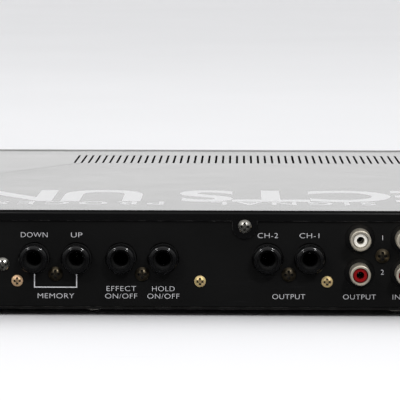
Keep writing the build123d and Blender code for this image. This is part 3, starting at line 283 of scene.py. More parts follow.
def painted(
    name, colour, roughness, peel=1500.0, depth=4e-6, wear=0.5, dust=0.1, specular=0.5,
    rub=0.35, smears=0.06, bare_back=0.0,
):
    """Sprayed metal with orange peel, rubbed corners, hairline marks and dust; its back can stay bare."""
    material, tree, shader = new_material(name, Specular_IOR_Level=specular)
    cloudy = tint(tree, colour, use(tree, "cloud", Scale=26.0, Spread=0.16))
    marks = use(tree, "scratches", Scale=34.0, Amount=rub)
    scuffed = blend(tree, cloudy, [3.2 * c + 0.01 for c in colour], marks)
    corners = use(tree, "edge_wear", Radius=0.35 * MM, Amount=wear)
    bare = blend(tree, scuffed, BARE_STEEL, corners)
    if bare_back:
        facing = put(tree, "SeparateXYZ", {0: put(tree, "TexCoord").outputs["Normal"]}).outputs["Y"]
        bare = blend(tree, bare, DULL_ALUMINIUM, spread(tree, facing, 0.5, 0.9, 0.0, bare_back))
    lying = use(tree, "dust", Amount=dust, Scale=42.0)
    shine = maths(tree, "ADD", roughness, use(tree, "smudges", Scale=38.0, Amount=smears))
    shine = maths(tree, "ADD", shine, maths(tree, "MULTIPLY", lying, 0.5), clamp=True)
    feed(tree, shader, blend(tree, bare, DUST, lying), shine, maths(tree, "MULTIPLY", corners, 0.8))
    bump(tree, shader, use(tree, "grain", Scale=peel), depth)
    return material


# Near-black colour of the painted shade laid into recesses of metal parts.
RECESS_SHADE_COLOUR = (0.010, 0.009, 0.008)
CHROMATE_GOLD = (0.92, 0.68, 0.34)


def plated(
    name, colour, roughness, tarnish, dull=0.4, marks=900.0, depth=2e-6, spots=350.0, shade_strength=1.0, reach=1.6
):
    """Plated metal: fine tool marks, patches where the plating has gone dull, and painted shade in its
    recesses.
    """
    material, tree, shader = new_material(name)
    patches = spread(tree, noise(tree, put(tree, "TexCoord").outputs["Object"], spots, 5.0, 0.65), 0.42, 0.66)
    patches = maths(tree, "MULTIPLY", patches, dull)
    bright = tint(tree, colour, use(tree, "cloud", Scale=210.0, Spread=0.1))
    corners = use(tree, "edge_wear", Radius=0.12 * MM, Amount=0.5)
    dulled = blend(tree, bright, tarnish, patches)
    polished = blend(tree, dulled, [min(1.0, 1.25 * c) for c in colour], corners)
    # Painted shade: recesses that the occlusion test finds shut in turn near black, rougher and less
    # metallic.
    shade_in_recess = use(tree, "recess_shade", Reach=reach * MM, Amount=shade_strength)
    shine = maths(tree, "ADD", roughness, maths(tree, "MULTIPLY", patches, 0.3), clamp=True)
    shine = maths(tree, "ADD", shine, maths(tree, "MULTIPLY", shade_in_recess, 0.4), clamp=True)
    metal = spread(tree, patches, 0.0, 1.0, 1.0, 0.75)
    metal = maths(tree, "MULTIPLY", metal, spread(tree, shade_in_recess, 0.0, 1.0, 1.0, 0.2))
    feed(tree, shader, blend(tree, polished, RECESS_SHADE_COLOUR, shade_in_recess), shine, metal)
    bump(tree, shader, use(tree, "tool_marks", Scale=marks, Along=0.05), depth)
    return material


def chromated(name, pink, green, roughness):
    """Yellow chromate over zinc, pink where its film is thin and green where thick, with painted shade in its
    cross recess.
    """
    material, tree, shader = new_material(name)
    place = put(tree, "TexCoord").outputs["Object"]
    slow = spread(tree, noise(tree, place, 9.0, 1.0), 0.35, 0.65)
    fine = spread(tree, noise(tree, place, 620.0, 4.0, 0.7), 0.3, 0.7)
    slow = maths(tree, "MULTIPLY", slow, 0.65)
    film = maths(tree, "ADD", slow, maths(tree, "MULTIPLY", fine, 0.45), clamp=True)
    gold = blend(tree, pink, CHROMATE_GOLD, spread(tree, film, 0.1, 0.5))
    gold = blend(tree, gold, green, spread(tree, film, 0.5, 0.9))
    # Painted shade in the cross recess: darker, rougher and less metallic where the occlusion test finds it
    # shut in.
    shade_in_recess = use(tree, "recess_shade", Reach=1.6 * MM, Amount=1.0)
    shine = maths(tree, "ADD", roughness, maths(tree, "MULTIPLY", fine, 0.15))
    shine = maths(tree, "ADD", shine, maths(tree, "MULTIPLY", shade_in_recess, 0.4), clamp=True)
    feed(tree, shader, blend(tree, gold, RECESS_SHADE_COLOUR, shade_in_recess), shine, spread(tree, shade_in_recess, 0.0, 1.0, 0.6, 0.1))
    bump(tree, shader, use(tree, "tool_marks", Scale=900.0, Along=0.05), 2e-6)
    return material


def moulded(
    name, colour, roughness, texture=1800.0, depth=3e-6, dust=0.06, coat=0.0, scuff=0.3,
    specular=0.5, reach=0.5,
):
    """Moulded plastic: spark texture, handled corners, smudges, a trace of dust, and painted shade in its
    depths, which also turn rougher.
    """
    material, tree, shader = new_material(
        name, Specular_IOR_Level=specular, Coat_Weight=coat, Coat_Roughness=0.08
    )
    cloudy = tint(tree, colour, use(tree, "cloud", Scale=120.0, Spread=0.07))
    corners = use(tree, "edge_wear", Radius=0.3 * MM, Amount=scuff)
    rubbed = blend(tree, cloudy, [min(1.0, 1.5 * c + 0.02) for c in colour], corners)
    lying = use(tree, "dust", Amount=dust, Scale=150.0)
    # Painted shade: depths that the occlusion test finds shut in are darkened to a third of the colour and
    # made rougher.
    shaded_depths = use(tree, "recess_shade", Reach=reach * MM, Amount=1.0)
    shine = maths(tree, "ADD", roughness, use(tree, "smudges", Scale=120.0, Amount=0.05), clamp=True)
    shine = maths(tree, "ADD", shine, maths(tree, "MULTIPLY", shaded_depths, 0.8), clamp=True)
    shaded = blend(tree, blend(tree, rubbed, DUST, lying), [0.3 * c for c in colour], shaded_depths)
    feed(tree, shader, shaded, shine)
    bump(tree, shader, use(tree, "grain", Scale=texture), depth)
    return material


def printed(name, colour, roughness=0.6, fade=0.18):
    """Screen-printed ink: uneven cover, and pinholes where it has worn."""
    material, tree, shader = new_material(name, Specular_IOR_Level=0.3)
    cover = use(tree, "cloud", Scale=700.0, Spread=fade)
    pinholes = use(tree, "scratches", Scale=220.0, Amount=0.5)
    feed(tree, shader, blend(tree, tint(tree, colour, cover), [0.4 * c for c in colour], pinholes))
    shader.inputs["Roughness"].default_value = roughness
    bump(tree, shader, use(tree, "grain", Scale=2600.0), 2e-6)
    return material


MASK_GREEN = (0.008, 0.075, 0.03)
TRACK_GREEN = (0.02, 0.16, 0.06)
TINNED_PAD = (0.6, 0.58, 0.52)


def circuit_board(name):
    """Green solder mask over copper tracks, with tinned pads."""
    material, tree, shader = new_material(name, Specular_IOR_Level=0.15)
    place = put(tree, "TexCoord").outputs["Object"]
    brick = {"Vector": place, "Scale": 95.0, "Mortar Size": 0.09, "Mortar Smooth": 0.1, "Brick Width": 0.9}
    tracks = put(tree, "TexBrick", brick).outputs["Fac"]
    mask = blend(tree, MASK_GREEN, TRACK_GREEN, tracks)
    cells = put(tree, "TexVoronoi", {"Vector": place, "Scale": 260.0}).outputs["Distance"]
    pads = spread(tree, cells, 0.2, 0.16)
    tinned = blend(tree, mask, TINNED_PAD, pads)
    feed(tree, shader, tinned, spread(tree, pads, 0.0, 1.0, 0.7, 0.45), pads)
    bump(tree, shader, maths(tree, "ADD", tracks, pads), 3e-5)
    return material


def laminated_core(name):
    """Varnished steel laminations, stacked along the core's height."""
    material, tree, shader = new_material(name)
    place = put(tree, "TexCoord").outputs["Object"]
    bands = {"Vector": place, "Scale": 320.0, "Distortion": 0.15, "Detail": 1.0}
    edges = put(tree, "TexWave", bands, wave_type="BANDS", bands_direction="Z").outputs["Fac"]
    varnish = tint(tree, (0.14, 0.11, 0.08), use(tree, "cloud", Scale=60.0, Spread=0.35))
    feed(tree, shader, blend(tree, varnish, (0.36, 0.35, 0.34), spread(tree, edges, 0.3, 0.9)), edges, edges)
    bump(tree, shader, edges, 1e-4)
    return material


def wound_tape(name):
    """Yellow tape in overlapping turns round the coil."""
    material, tree, shader = new_material(name, Coat_Weight=0.5, Coat_Roughness=0.15)
    place = put(tree, "TexCoord").outputs["Object"]
    bands = {"Vector": place, "Scale": 55.0, "Distortion": 0.4, "Detail": 1.0}
    wave = put(tree, "TexWave", bands, wave_type="BANDS", bands_direction="Y", wave_profile="SAW")
    laps = wave.outputs["Fac"]
    feed(tree, shader, blend(tree, (0.62, 0.42, 0.06), (0.78, 0.6, 0.16), laps))
    shader.inputs["Roughness"].default_value = 0.35
    bump(tree, shader, laps, 8e-5)
    return material


def flat_ribbon(name):
    """Grey flat cable with one moulded ridge for each wire."""
    material, tree, shader = new_material(name)
    place = put(tree, "TexCoord").outputs["Object"]
    bands = {"Vector": place, "Scale": 395.0, "Detail": 0.0}
    ridges = put(tree, "TexWave", bands, wave_type="BANDS", bands_direction="X").outputs["Fac"]
    grey = blend(tree, (0.2, 0.2, 0.21), (0.42, 0.42, 0.43), ridges)
    feed(tree, shader, grey, use(tree, "cloud", Scale=90.0))
    bump(tree, shader, ridges, 3e-4)
    return material


def clear(name, colour, roughness, density):
    """Tinted clear plastic or glass, with smudges in its gloss."""
    material, tree, shader = new_material(name, IOR=1.49, Transmission_Weight=density)
    shader.inputs["Base Color"].default_value = (*colour, 1.0)
    smears = use(tree, "smudges", Scale=60.0, Amount=0.03)
    feed(tree, shader, roughness=maths(tree, "ADD", roughness, smears, True))
    marks = use(tree, "scratches", Scale=60.0, Amount=0.4)
    bump(tree, shader, marks, 1e-6)
    return material


finishes = {
    "lid_paint": painted(
        "lid_paint", (0.003, 0.003, 0.0033), 0.25, peel=1100.0, depth=5e-7, wear=0.4, dust=0.006,
        specular=0.25, rub=0.03, smears=0.006,
    ),
    "panel_paint": painted(
        "panel_paint", (0.0028, 0.0028, 0.0029), 0.48, dust=0.012, specular=0.22, wear=0.05
    ),
    "pan_paint": painted("pan_paint", (0.004, 0.004, 0.004), 0.42, dust=0.03, wear=0.2, specular=0.25),
    "front_paint": painted(
        "front_paint", (0.009, 0.009, 0.010), 0.28, peel=2200.0, depth=1e-6, wear=0.3, bare_back=0.95
    ),
    "zinc_plate": plated("zinc_plate", (0.55, 0.56, 0.57), 0.3, (0.3, 0.3, 0.29)),
    "foot_rubber": moulded("foot_rubber", (0.016, 0.016, 0.016), 0.85, 900.0, 1e-5, dust=0.15),
    "nickel_plate": plated("nickel_plate", (0.70, 0.68, 0.63), 0.16, (0.30, 0.28, 0.22), dull=0.3),
    "nickel_shell": plated("nickel_shell", (0.95, 0.88, 0.75), 0.46, (0.74, 0.66, 0.52), dull=0.5, reach=0.3),
    "black_zinc": plated("black_zinc", (0.11, 0.09, 0.06), 0.34, (0.04, 0.034, 0.025), dull=0.6),
    "yellow_chromate": chromated("yellow_chromate", (0.98, 0.58, 0.42), (0.84, 0.80, 0.30), 0.34),
    # Painted shade: the jack contacts are coloured near black so that the jack bores read as shadow, and a
    # reach of 9 mm darkens them further.
    "contact_painted_shade": moulded("contact_painted_shade", (0.006, 0.006, 0.005), 0.8, dust=0.0, specular=0.1, reach=9.0),
    "turned_brass": plated("turned_brass", (0.70, 0.53, 0.26), 0.25, (0.42, 0.3, 0.14)),
    "turned_aluminium": plated("turned_aluminium", (0.72, 0.73, 0.74), 0.3, (0.5, 0.5, 0.5)),
    "black_anodised": painted(
        "black_anodised", (0.014, 0.014, 0.016), 0.4, peel=3000.0, depth=2e-6, wear=0.2
    ),
    # Painted shade: a reach of 9 mm darkens and roughens the jack bores as if in shadow.
    "jack_gloss": moulded(
        "jack_gloss", (0.0020, 0.0020, 0.0024), 0.10, texture=900.0, depth=1e-6, dust=0.004,
        scuff=0.04, specular=0.7, reach=9.0,
    ),
    "connector_black": moulded(
        "connector_black", (0.0025, 0.0025, 0.0028), 0.30, dust=0.006, scuff=0.05, specular=0.3
    ),
    "insert_white": moulded("insert_white", (0.90, 0.87, 0.80), 0.30, 1200.0, 2e-6, dust=0.0),
    "insert_red": moulded("insert_red", (0.25, 0.0010, 0.003), 0.35, 1200.0, 2e-6, dust=0.0, specular=0.15),
    "knob_plastic": moulded("knob_plastic", (0.012, 0.012, 0.013), 0.42, 1500.0, 6e-6),
    "key_plastic": moulded("key_plastic", (0.075, 0.077, 0.082), 0.45, 1700.0, 5e-6),
    "led_red": moulded("led_red", (0.30, 0.008, 0.006), 0.12, coat=0.6),
    "chip_epoxy": moulded("chip_epoxy", (0.015, 0.015, 0.016), 0.55, 2200.0, 6e-6),
    "capacitor_sleeve": moulded("capacitor_sleeve", (0.010, 0.018, 0.075), 0.25, coat=0.3),
    "solder_mask": circuit_board("solder_mask"),
    "core_laminations": laminated_core("core_laminations"),
    "coil_tape": wound_tape("coil_tape"),
    "ribbon_grey": flat_ribbon("ribbon_grey"),
    "smoked_acrylic": clear("smoked_acrylic", (0.10, 0.105, 0.11), 0.03, 0.92),
    "fuse_glass": clear("fuse_glass", (0.88, 0.9, 0.9), 0.03, 0.95),
    "display_face": moulded("display_face", (0.05, 0.085, 0.05), 0.3, 1400.0, 1e-6, dust=0.0),
    "label_ink": printed("label_ink", (0.60, 0.60, 0.62), fade=0.06),
    "lid_ink": printed("lid_ink", (0.62, 0.62, 0.63), 0.40, 0.03),
    "pointer_ink": printed("pointer_ink", (0.75, 0.75, 0.74)),
    "dot_ink": printed("dot_ink", (0.006, 0.009, 0.007)),
}

# ---------------------------------------------------------------- finishes of the CAD nodes
node_finishes = {
    "top_cover": "lid_paint",
    "rear_panel": "panel_paint",
    "bottom_pan": "pan_paint",
    "sub_panel": "pan_paint",
    "front_panel": "front_paint",
    "rubber_feet": "foot_rubber",
    "case_screws": "nickel_plate",
    "midi_screws": "nickel_plate",
    "countersunk_screws": "black_zinc",
    "connector_screws": "black_zinc",
    "level_switch_screws": "black_zinc",
    "bracket_screws": "yellow_chromate",
    # The jack contacts carry painted shade, near black.
    "jack_contacts": "contact_painted_shade",
    "board_brackets": "zinc_plate",
    "potentiometers": "zinc_plate",
    "board_standoffs": "turned_brass",
    "heatsink": "black_anodised",
    "phono_block": "connector_black",
    "phono_shells": "nickel_shell",
    "inlet_pins": "nickel_shell",
    "phono_inserts_white": "insert_white",
    "phono_inserts_red": "insert_red",
    "midi_sockets": "connector_black",
    "mains_inlet": "connector_black",
    "level_switch_frame": "connector_black",
    "level_switch_slider": "key_plastic",
    "power_switch": "connector_black",
    "power_button": "key_plastic",
    "power_led": "led_red",
    "tact_switches": "chip_epoxy",
    "main_board_chips": "chip_epoxy",
    "regulators": "chip_epoxy",
    "capacitors": "capacitor_sleeve",
    "main_board": "solder_mask",
    "power_board": "solder_mask",
    "key_board": "solder_mask",
    "transformer_core": "core_laminations",
    "transformer_coil": "coil_tape",
    "ribbon_cable": "ribbon_grey",
    "display_window": "smoked_acrylic",
    "display_module": "connector_black",
    "fuse": "fuse_glass",
}
family_finishes = {
    "jack_block_": "jack_gloss",
    "shaft_": "turned_aluminium",
    "knob_": "knob_plastic",
    "key_": "key_plastic",
}


def finish_of(node):
    """The finish of a CAD node, by its own name or by its family's."""
    if node in node_finishes:
        return node_finishes[node]
    return next(finish for start, finish in family_finishes.items() if node.startswith(start))


for node_name, cad_object in nodes.items():
    own_slot = cad_object.material_slots[0]
    own_slot.link = "OBJECT"
    own_slot.material = finishes[finish_of(node_name)]


def soften(node, width):
    """Breaks a CAD node's sharp edges by a small bevel, as folding, plating or moulding leaves them."""
    weld = nodes[node].modifiers.new("weld", "WELD")
    weld.merge_threshold = 1e-6
    bevel = nodes[node].modifiers.new("bevel", "BEVEL")
    bevel.width = width
    bevel.segments = 2
    bevel.limit_method = "ANGLE"
    bevel.angle_limit = math.radians(50)
    bevel.use_clamp_overlap = True


SHEET_EDGE = 0.12 * MM
for sheet in ("top_cover", "rear_panel", "bottom_pan"):
    soften(sheet, SHEET_EDGE)


# ---------------------------------------------------------------- making pieces
def piece(name, bm, finish, body="root"):
    """Turns a finished bmesh into a piece that rides on a body."""
    mesh = bpy.data.meshes.new(name)
    bm.to_mesh(mesh)
    bm.free()
    mesh.materials.append(finishes[finish])
    made = bpy.data.objects.new(name, mesh)
    bpy.context.scene.collection.objects.link(made)
    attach(made, body)
    return made


PRINT = 0.012 * MM
LIFT = 0.004 * MM
REAR_FACE = Matrix(((-1, 0, 0, 0), (0, 0, 1, REAR_Y), (0, 1, 0, 0), (0, 0, 0, 1)))
FRONT_FACE = Matrix(((1, 0, 0, 0), (0, 0, -1, FRONT_Y), (0, 1, 0, 0), (0, 0, 0, 1)))
LID_FACE = Matrix(((1, 0, 0, 0), (0, 1, 0, 0), (0, 0, 1, LID_Z), (0, 0, 0, 1)))


def capital_height():
    """The height of a capital letter in text of size one."""
    curve = bpy.data.curves.new("capital", "FONT")
    curve.body = "H"
    sample = bpy.data.objects.new("capital", curve)
    bpy.context.scene.collection.objects.link(sample)
    bpy.context.view_layer.update()
    height = sample.dimensions.y
    bpy.data.objects.remove(sample)
    return height


CAPITAL = capital_height()


def add_words(bm, face, words, across, up, capital, stretch=1.0, bold=0.0, spacing=1.0, width=None):
    """Adds a line of raised print to a bmesh: its middle and baseline are places on a face."""
    curve = bpy.data.curves.new("words", "FONT")
    curve.body = words
    curve.align_x = "CENTER"
    curve.size = capital / CAPITAL
    curve.offset = bold
    curve.space_character = spacing
    curve.extrude = PRINT / 2
    curve.resolution_u = 6
    line = bpy.data.objects.new("words", curve)
    mesh = bpy.data.meshes.new_from_object(line)
    if width and len(words) > 1:
        reach = [vertex.co.x for vertex in mesh.vertices]
        stretch = width / (max(reach) - min(reach))
    mesh.transform(Matrix.Diagonal((stretch, 1, 1, 1)))
    mesh.transform(face @ Matrix.Translation((across, up, PRINT / 2 + LIFT)))
    bm.from_mesh(mesh)
    bpy.data.objects.remove(line)
    bpy.data.curves.remove(curve)
    bpy.data.meshes.remove(mesh)


def add_bar(bm, face, low, high):
    """Adds a printed rectangle between two corners on a face."""
    corners = ((low[0], low[1]), (high[0], low[1]), (high[0], high[1]), (low[0], high[1]))
    bottom = [bm.verts.new(face @ Vector((x, y, LIFT))) for x, y in corners]
    top = [bm.verts.new(face @ Vector((x, y, LIFT + PRINT))) for x, y in corners]
    bm.faces.new(bottom[::-1])
    bm.faces.new(top)
    for i in range(4):
        j = (i + 1) % 4
        bm.faces.new((bottom[i], bottom[j], top[j], top[i]))


# ---------------------------------------------------------------- rear labels
REAR_CAPITAL = 2.05 * MM
THIN = -0.05 * MM
UPPER_LINE = BASE_Z + 32.0 * MM
LOWER_LINE = BASE_Z + 6.8 * MM
SECOND_LINE = BASE_Z + 9.9 * MM


def rear_words(bm, words, x, z, width):
    """A label on the rear panel. The panel is read from behind, so right and left change over."""
    add_words(bm, REAR_FACE, words, -x, z, REAR_CAPITAL, bold=THIN, spacing=1.06, width=width)


def rear_labels():
    """All the words on the rear panel."""
    bm = bmesh.new()
    memory_x = (mount_x("jack_memory_down") + mount_x("jack_memory_up")) / 2
    output_x = (mount_x("jack_output_1") + mount_x("jack_output_2")) / 2
    input_x = (mount_x("jack_input_1") + mount_x("jack_input_2")) / 2
    phono_out_x = mount_x("phono_output_1_pin")
    phono_in_x = mount_x("phono_input_1_pin")
    phono_x = (phono_out_x + phono_in_x) / 2
    level_x = centre("level_switch_frame").x
    lines = [
        ("DOWN", mount_x("jack_memory_down"), UPPER_LINE, 10.9),
        ("UP", mount_x("jack_memory_up"), UPPER_LINE, 4.6),
        ("MEMORY", memory_x, LOWER_LINE, 14.9),
        ("EFFECT", mount_x("jack_effect_switch"), SECOND_LINE, 12.1),
        ("ON/OFF", mount_x("jack_effect_switch"), LOWER_LINE, 13.1),
        ("HOLD", mount_x("jack_hold_switch"), SECOND_LINE, 9.2),
        ("ON/OFF", mount_x("jack_hold_switch"), LOWER_LINE, 13.1),
        ("CH-2", mount_x("jack_output_2"), UPPER_LINE, 8.3),
        ("CH-1", mount_x("jack_output_1"), UPPER_LINE, 8.0),
        ("OUTPUT", output_x, LOWER_LINE, 13.4),
        ("OUTPUT", phono_out_x, LOWER_LINE, 13.4),
        ("INPUT", phono_in_x, LOWER_LINE, 10.2),
        ("1", phono_x, mounts["phono_output_1_pin"]["pos_m"][2] - REAR_CAPITAL / 3, 1.1),
        ("2", phono_x, mounts["phono_output_2_pin"]["pos_m"][2] - REAR_CAPITAL / 3, 1.8),
        ("CH-2", mount_x("jack_input_2"), UPPER_LINE, 8.3),
        ("CH-1", mount_x("jack_input_1"), UPPER_LINE, 8.0),
        ("INPUT", input_x, LOWER_LINE, 10.2),
        ("LEVEL", level_x, UPPER_LINE, 10.6),
        ("HIGH", level_x + 5.0 * MM, LOWER_LINE + 9.0 * MM, 8.2),
        ("LOW", level_x - 5.0 * MM, LOWER_LINE + 9.0 * MM, 8.0),
        ("DATA IN", mount_x("midi_in"), UPPER_LINE + 1.6 * MM, 14.0),
        ("DATA THRU", mount_x("midi_thru"), UPPER_LINE + 1.6 * MM, 19.0),
        ("AC IN", centre("mains_inlet").x, LOWER_LINE - 2.2 * MM, 10.0),
    ]
    for words, x, z, width in lines:
        rear_words(bm, words, x, z, width * MM)
    return piece("rear_labels", bm, "label_ink")


def memory_bracket():
    """The printed bracket that joins the two memory jacks."""
    bm = bmesh.new()
    line = 0.42 * MM
    top, foot = BASE_Z + 17.0 * MM, BASE_Z + 11.2 * MM
    left, right = -mount_x("jack_memory_down"), -mount_x("jack_memory_up")
    add_bar(bm, REAR_FACE, (left - line / 2, foot), (left + line / 2, top))
    add_bar(bm, REAR_FACE, (right - line / 2, foot), (right + line / 2, top))
    add_bar(bm, REAR_FACE, (left + line / 2, foot), (right - line / 2, foot + line))
    return piece("memory_bracket", bm, "label_ink")


rear_labels()
memory_bracket()


# ---------------------------------------------------------------- lid lettering
NAME_LINE, NAME_CAPITAL = 203 * MM, 42 * MM
CAPTION_LINE, CAPTION_CAPITAL = 248 * MM, 10.5 * MM


def lid_lettering():
    """Two lines across the lid, read from the front: large words, and a small line behind them."""
    bm = bmesh.new()
    add_words(
        bm, LID_FACE, "EFFECTS UNIT", 0, NAME_LINE, NAME_CAPITAL, stretch=0.86, bold=1.6 * MM, spacing=0.98
    )
    piece("lid_name", bm, "lid_ink")
    bm = bmesh.new()
    caption = "STEREO  SIGNAL  PROCESSOR"
    add_words(bm, LID_FACE, caption, 0, CAPTION_LINE, CAPTION_CAPITAL, bold=0.25 * MM, spacing=1.45)
    piece("lid_caption", bm, "lid_ink")


lid_lettering()


# ---------------------------------------------------------------- front labels
FRONT_CAPITAL = 1.9 * MM
KNOB_LINE = -15.0 * MM
MARK_RADIUS = 8.6 * MM
MARK_HALF_WIDTH = 0.15 * MM
LONG_MARK, SHORT_MARK = 1.6 * MM, 1.0 * MM
MARKS = 11
KNOB_SWING = 300


def front_labels():
    """The words by the knobs and keys, and the marks round each knob."""
    bm = bmesh.new()
    for knob, words in (("knob_input_1", "INPUT 1"), ("knob_input_2", "INPUT 2"), ("knob_mix", "MIX")):
        add_words(bm, FRONT_FACE, words, centre(knob).x, KNOB_LINE, FRONT_CAPITAL)
        for i in range(MARKS):
            turn = math.radians(-KNOB_SWING / 2 + KNOB_SWING / (MARKS - 1) * i)
            spot = Matrix.Translation((centre(knob).x, 0, 0)) @ Matrix.Rotation(-turn, 4, "Z")
            length = LONG_MARK if i % 5 == 0 else SHORT_MARK
            outer = MARK_RADIUS + length
            add_bar(bm, FRONT_FACE @ spot, (-MARK_HALF_WIDTH, MARK_RADIUS), (MARK_HALF_WIDTH, outer))
    for key, words in (
        ("key_effect", "EFFECT"),
        ("key_hold", "HOLD"),
        ("key_memory_down", "MEM DOWN"),
        ("key_memory_up", "MEM UP"),
        ("key_edit", "EDIT"),
        ("key_store", "STORE"),
        ("key_value_down", "VALUE DOWN"),
        ("key_value_up", "VALUE UP"),
    ):
        low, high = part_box(key)
        middle = (low + high) / 2
        line = high.z + 0.9 * MM if middle.z > 0 else low.z - 0.9 * MM - FRONT_CAPITAL
        add_words(bm, FRONT_FACE, words, middle.x, line, FRONT_CAPITAL, 0.92)
    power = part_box("power_button")
    add_words(bm, FRONT_FACE, "POWER", centre("power_button").x, power[1].z + 2.0 * MM, FRONT_CAPITAL)
    return piece("front_labels", bm, "label_ink")


front_labels()


# ---------------------------------------------------------------- knobs
KNOB_RIBS = 24
FLUTE_DEPTH = 0.42 * MM


def knob_radius(part, angle, full):
    """The grip's radius at an angle: shallow round flutes between narrow ribs."""
    flute = abs(math.sin(KNOB_RIBS * angle / 2))
    return full - part * FLUTE_DEPTH * flute**0.7


def fluted_knob(node, body, shaft):
    """A fluted knob with a plain skirt, a dished cap and an inlaid pointer."""
    low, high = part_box(node)
    x = (low.x + high.x) / 2
    full = (high.x - low.x) / 2
    back, front = high.y, low.y
    inner = (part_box(shaft)[1].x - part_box(shaft)[0].x) / 2
    hollow = full - 1.4 * MM
    lathe = [
        (inner, back - 3.2 * MM, 0.0),
        (hollow, back - 3.2 * MM, 0.0),
        (hollow, back, 0.0),
        (full - 0.25 * MM, back, 0.0),
        (full, back - 0.25 * MM, 0.0),
        (full, back - 2.4 * MM, 0.0),
        (full - 0.2 * MM, back - 2.8 * MM, 0.3),
        (full - 0.45 * MM, back - 3.4 * MM, 1.0),
        (full - 0.75 * MM, front + 1.6 * MM, 1.0),
        (full - 0.95 * MM, front + 0.9 * MM, 0.9),
        (full - 1.35 * MM, front + 0.35 * MM, 0.5),
        (full - 1.9 * MM, front + 0.05 * MM, 0.0),
        (full - 2.4 * MM, front, 0.0),
        (full - 2.9 * MM, front + 0.15 * MM, 0.0),
        (full * 0.35, front + 0.45 * MM, 0.0),
    ]
    steps = 192
    bm = bmesh.new()
    rings = []
    for radius, y, fluted in lathe:
        ring = []
        for i in range(steps):
            angle = 2 * math.pi * i / steps
            r = knob_radius(fluted, angle, radius)
            ring.append(bm.verts.new((x + r * math.sin(angle), y, r * math.cos(angle))))
        rings.append(ring)
    for near, far in zip(rings, rings[1:]):
        for i in range(steps):
            j = (i + 1) % steps
            bm.faces.new((near[i], near[j], far[j], far[i]))
    bm.faces.new(rings[-1][::-1])
    bore = [bm.verts.new((v.co.x, front + 1.5 * MM, v.co.z)) for v in rings[0]]
    for i in range(steps):
        j = (i + 1) % steps
        bm.faces.new((bore[i], bore[j], rings[0][j], rings[0][i]))
    bm.faces.new(bore)
    bmesh.ops.recalc_face_normals(bm, faces=bm.faces)
    for face in bm.faces:
        face.smooth = len(face.verts) == 4
    knob = piece(node + "_grip", bm, "knob_plastic", body)
    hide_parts(node)

    bm = bmesh.new()
    half = 0.5 * MM
    outline = [
        (half, front + 0.05 * MM, full * 0.35),
        (half, front - 0.03 * MM, full - 2.4 * MM),
        (half, front + 0.8 * MM, full - 0.9 * MM),
        (half, back - 3.6 * MM, full - 0.35 * MM),
        (half, back - 3.6 * MM, full - 1.6 * MM),
        (half, front + 0.9 * MM, full - 2.6 * MM),
        (half, front + 0.9 * MM, full * 0.35),
    ]
    sides = [[bm.verts.new((x + s * w, y, z)) for w, y, z in outline] for s in (-1, 1)]
    bm.faces.new(sides[0])
    bm.faces.new(sides[1][::-1])
    for i in range(len(outline)):
        j = (i + 1) % len(outline)
        bm.faces.new((sides[0][j], sides[0][i], sides[1][i], sides[1][j]))
    bmesh.ops.recalc_face_normals(bm, faces=bm.faces)
    piece(node + "_pointer", bm, "pointer_ink", body)


for label in ("input_1", "input_2", "mix"):
    fluted_knob("knob_" + label, label + "_knob", "shaft_" + label)

# ---------------------------------------------------------------- display
DOT_ROWS = {
    " ": (0, 0, 0, 0, 0, 0, 0),
    "0": (14, 17, 19, 21, 25, 17, 14),
    "1": (4, 12, 4, 4, 4, 4, 14),
    "A": (14, 17, 17, 31, 17, 17, 17),
    "G": (14, 17, 16, 23, 17, 17, 14),
    "H": (17, 17, 17, 31, 17, 17, 17),
    "L": (16, 16, 16, 16, 16, 16, 31),
    "M": (17, 27, 21, 21, 17, 17, 17),
    "O": (14, 17, 17, 17, 17, 17, 14),
    "P": (30, 17, 17, 30, 16, 16, 16),
    "R": (30, 17, 17, 30, 20, 18, 17),
}


FACE_HALF_WIDTH, FACE_HALF_HEIGHT = 60 * MM, 8.6 * MM


def display():
    """The display's pale face behind the window, with two rows of square dots."""
    low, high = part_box("display_module")
    module_front = low.y
    face = Matrix(((1, 0, 0, (low.x + high.x) / 2), (0, 0, -1, module_front), (0, 1, 0, 0), (0, 0, 0, 1)))
    bm = bmesh.new()
    add_bar(bm, face, (-FACE_HALF_WIDTH, -FACE_HALF_HEIGHT), (FACE_HALF_WIDTH, FACE_HALF_HEIGHT))
    piece("display_face", bm, "display_face")

    bm = bmesh.new()
    dot, gap = 0.62 * MM, 0.08 * MM
    pitch = 6.6 * dot
    over = face @ Matrix.Translation((0, 0, PRINT))
    for row, words in enumerate(("PROGRAM 01", "HALL      ")):
        for place, letter in enumerate(words):
            left = (place - len(words) / 2) * pitch
            top = (1 - row) * 9 * dot - 1.0 * dot
            for line, bits in enumerate(DOT_ROWS[letter]):
                for column in range(5):
                    if bits >> (4 - column) & 1:
                        x, z = left + column * dot, top - line * dot
                        add_bar(bm, over, (x, z - dot + gap), (x + dot - gap, z))
    piece("display_dots", bm, "dot_ink")


display()


# ---------------------------------------------------------------- studio
TABLE_WHITE = (0.865, 0.867, 0.885)
TABLE_SCUFF = (0.45, 0.45, 0.47)


def floor():
    """A wide pale table top under the unit, faintly scuffed, seen right up to the horizon."""
    bm = bmesh.new()
    bmesh.ops.create_grid(bm, x_segments=1, y_segments=1, size=30.0)
    mesh = bpy.data.meshes.new("table_top")
    bm.to_mesh(mesh)
    bm.free()
    material, tree, shader = new_material("table_white", Roughness=0.75, Specular_IOR_Level=0.2)
    clean = tint(tree, TABLE_WHITE, use(tree, "cloud", Scale=3.0, Spread=0.01))
    scuffs = use(tree, "scratches", Scale=11.0, Amount=0.16)
    feed(tree, shader, blend(tree, clean, TABLE_SCUFF, scuffs))
    mesh.materials.append(material)
    table = bpy.data.objects.new("table_top", mesh)
    table.location = (0, 0, FLOOR_Z)
    bpy.context.scene.collection.objects.link(table)
    table.visible_glossy = False


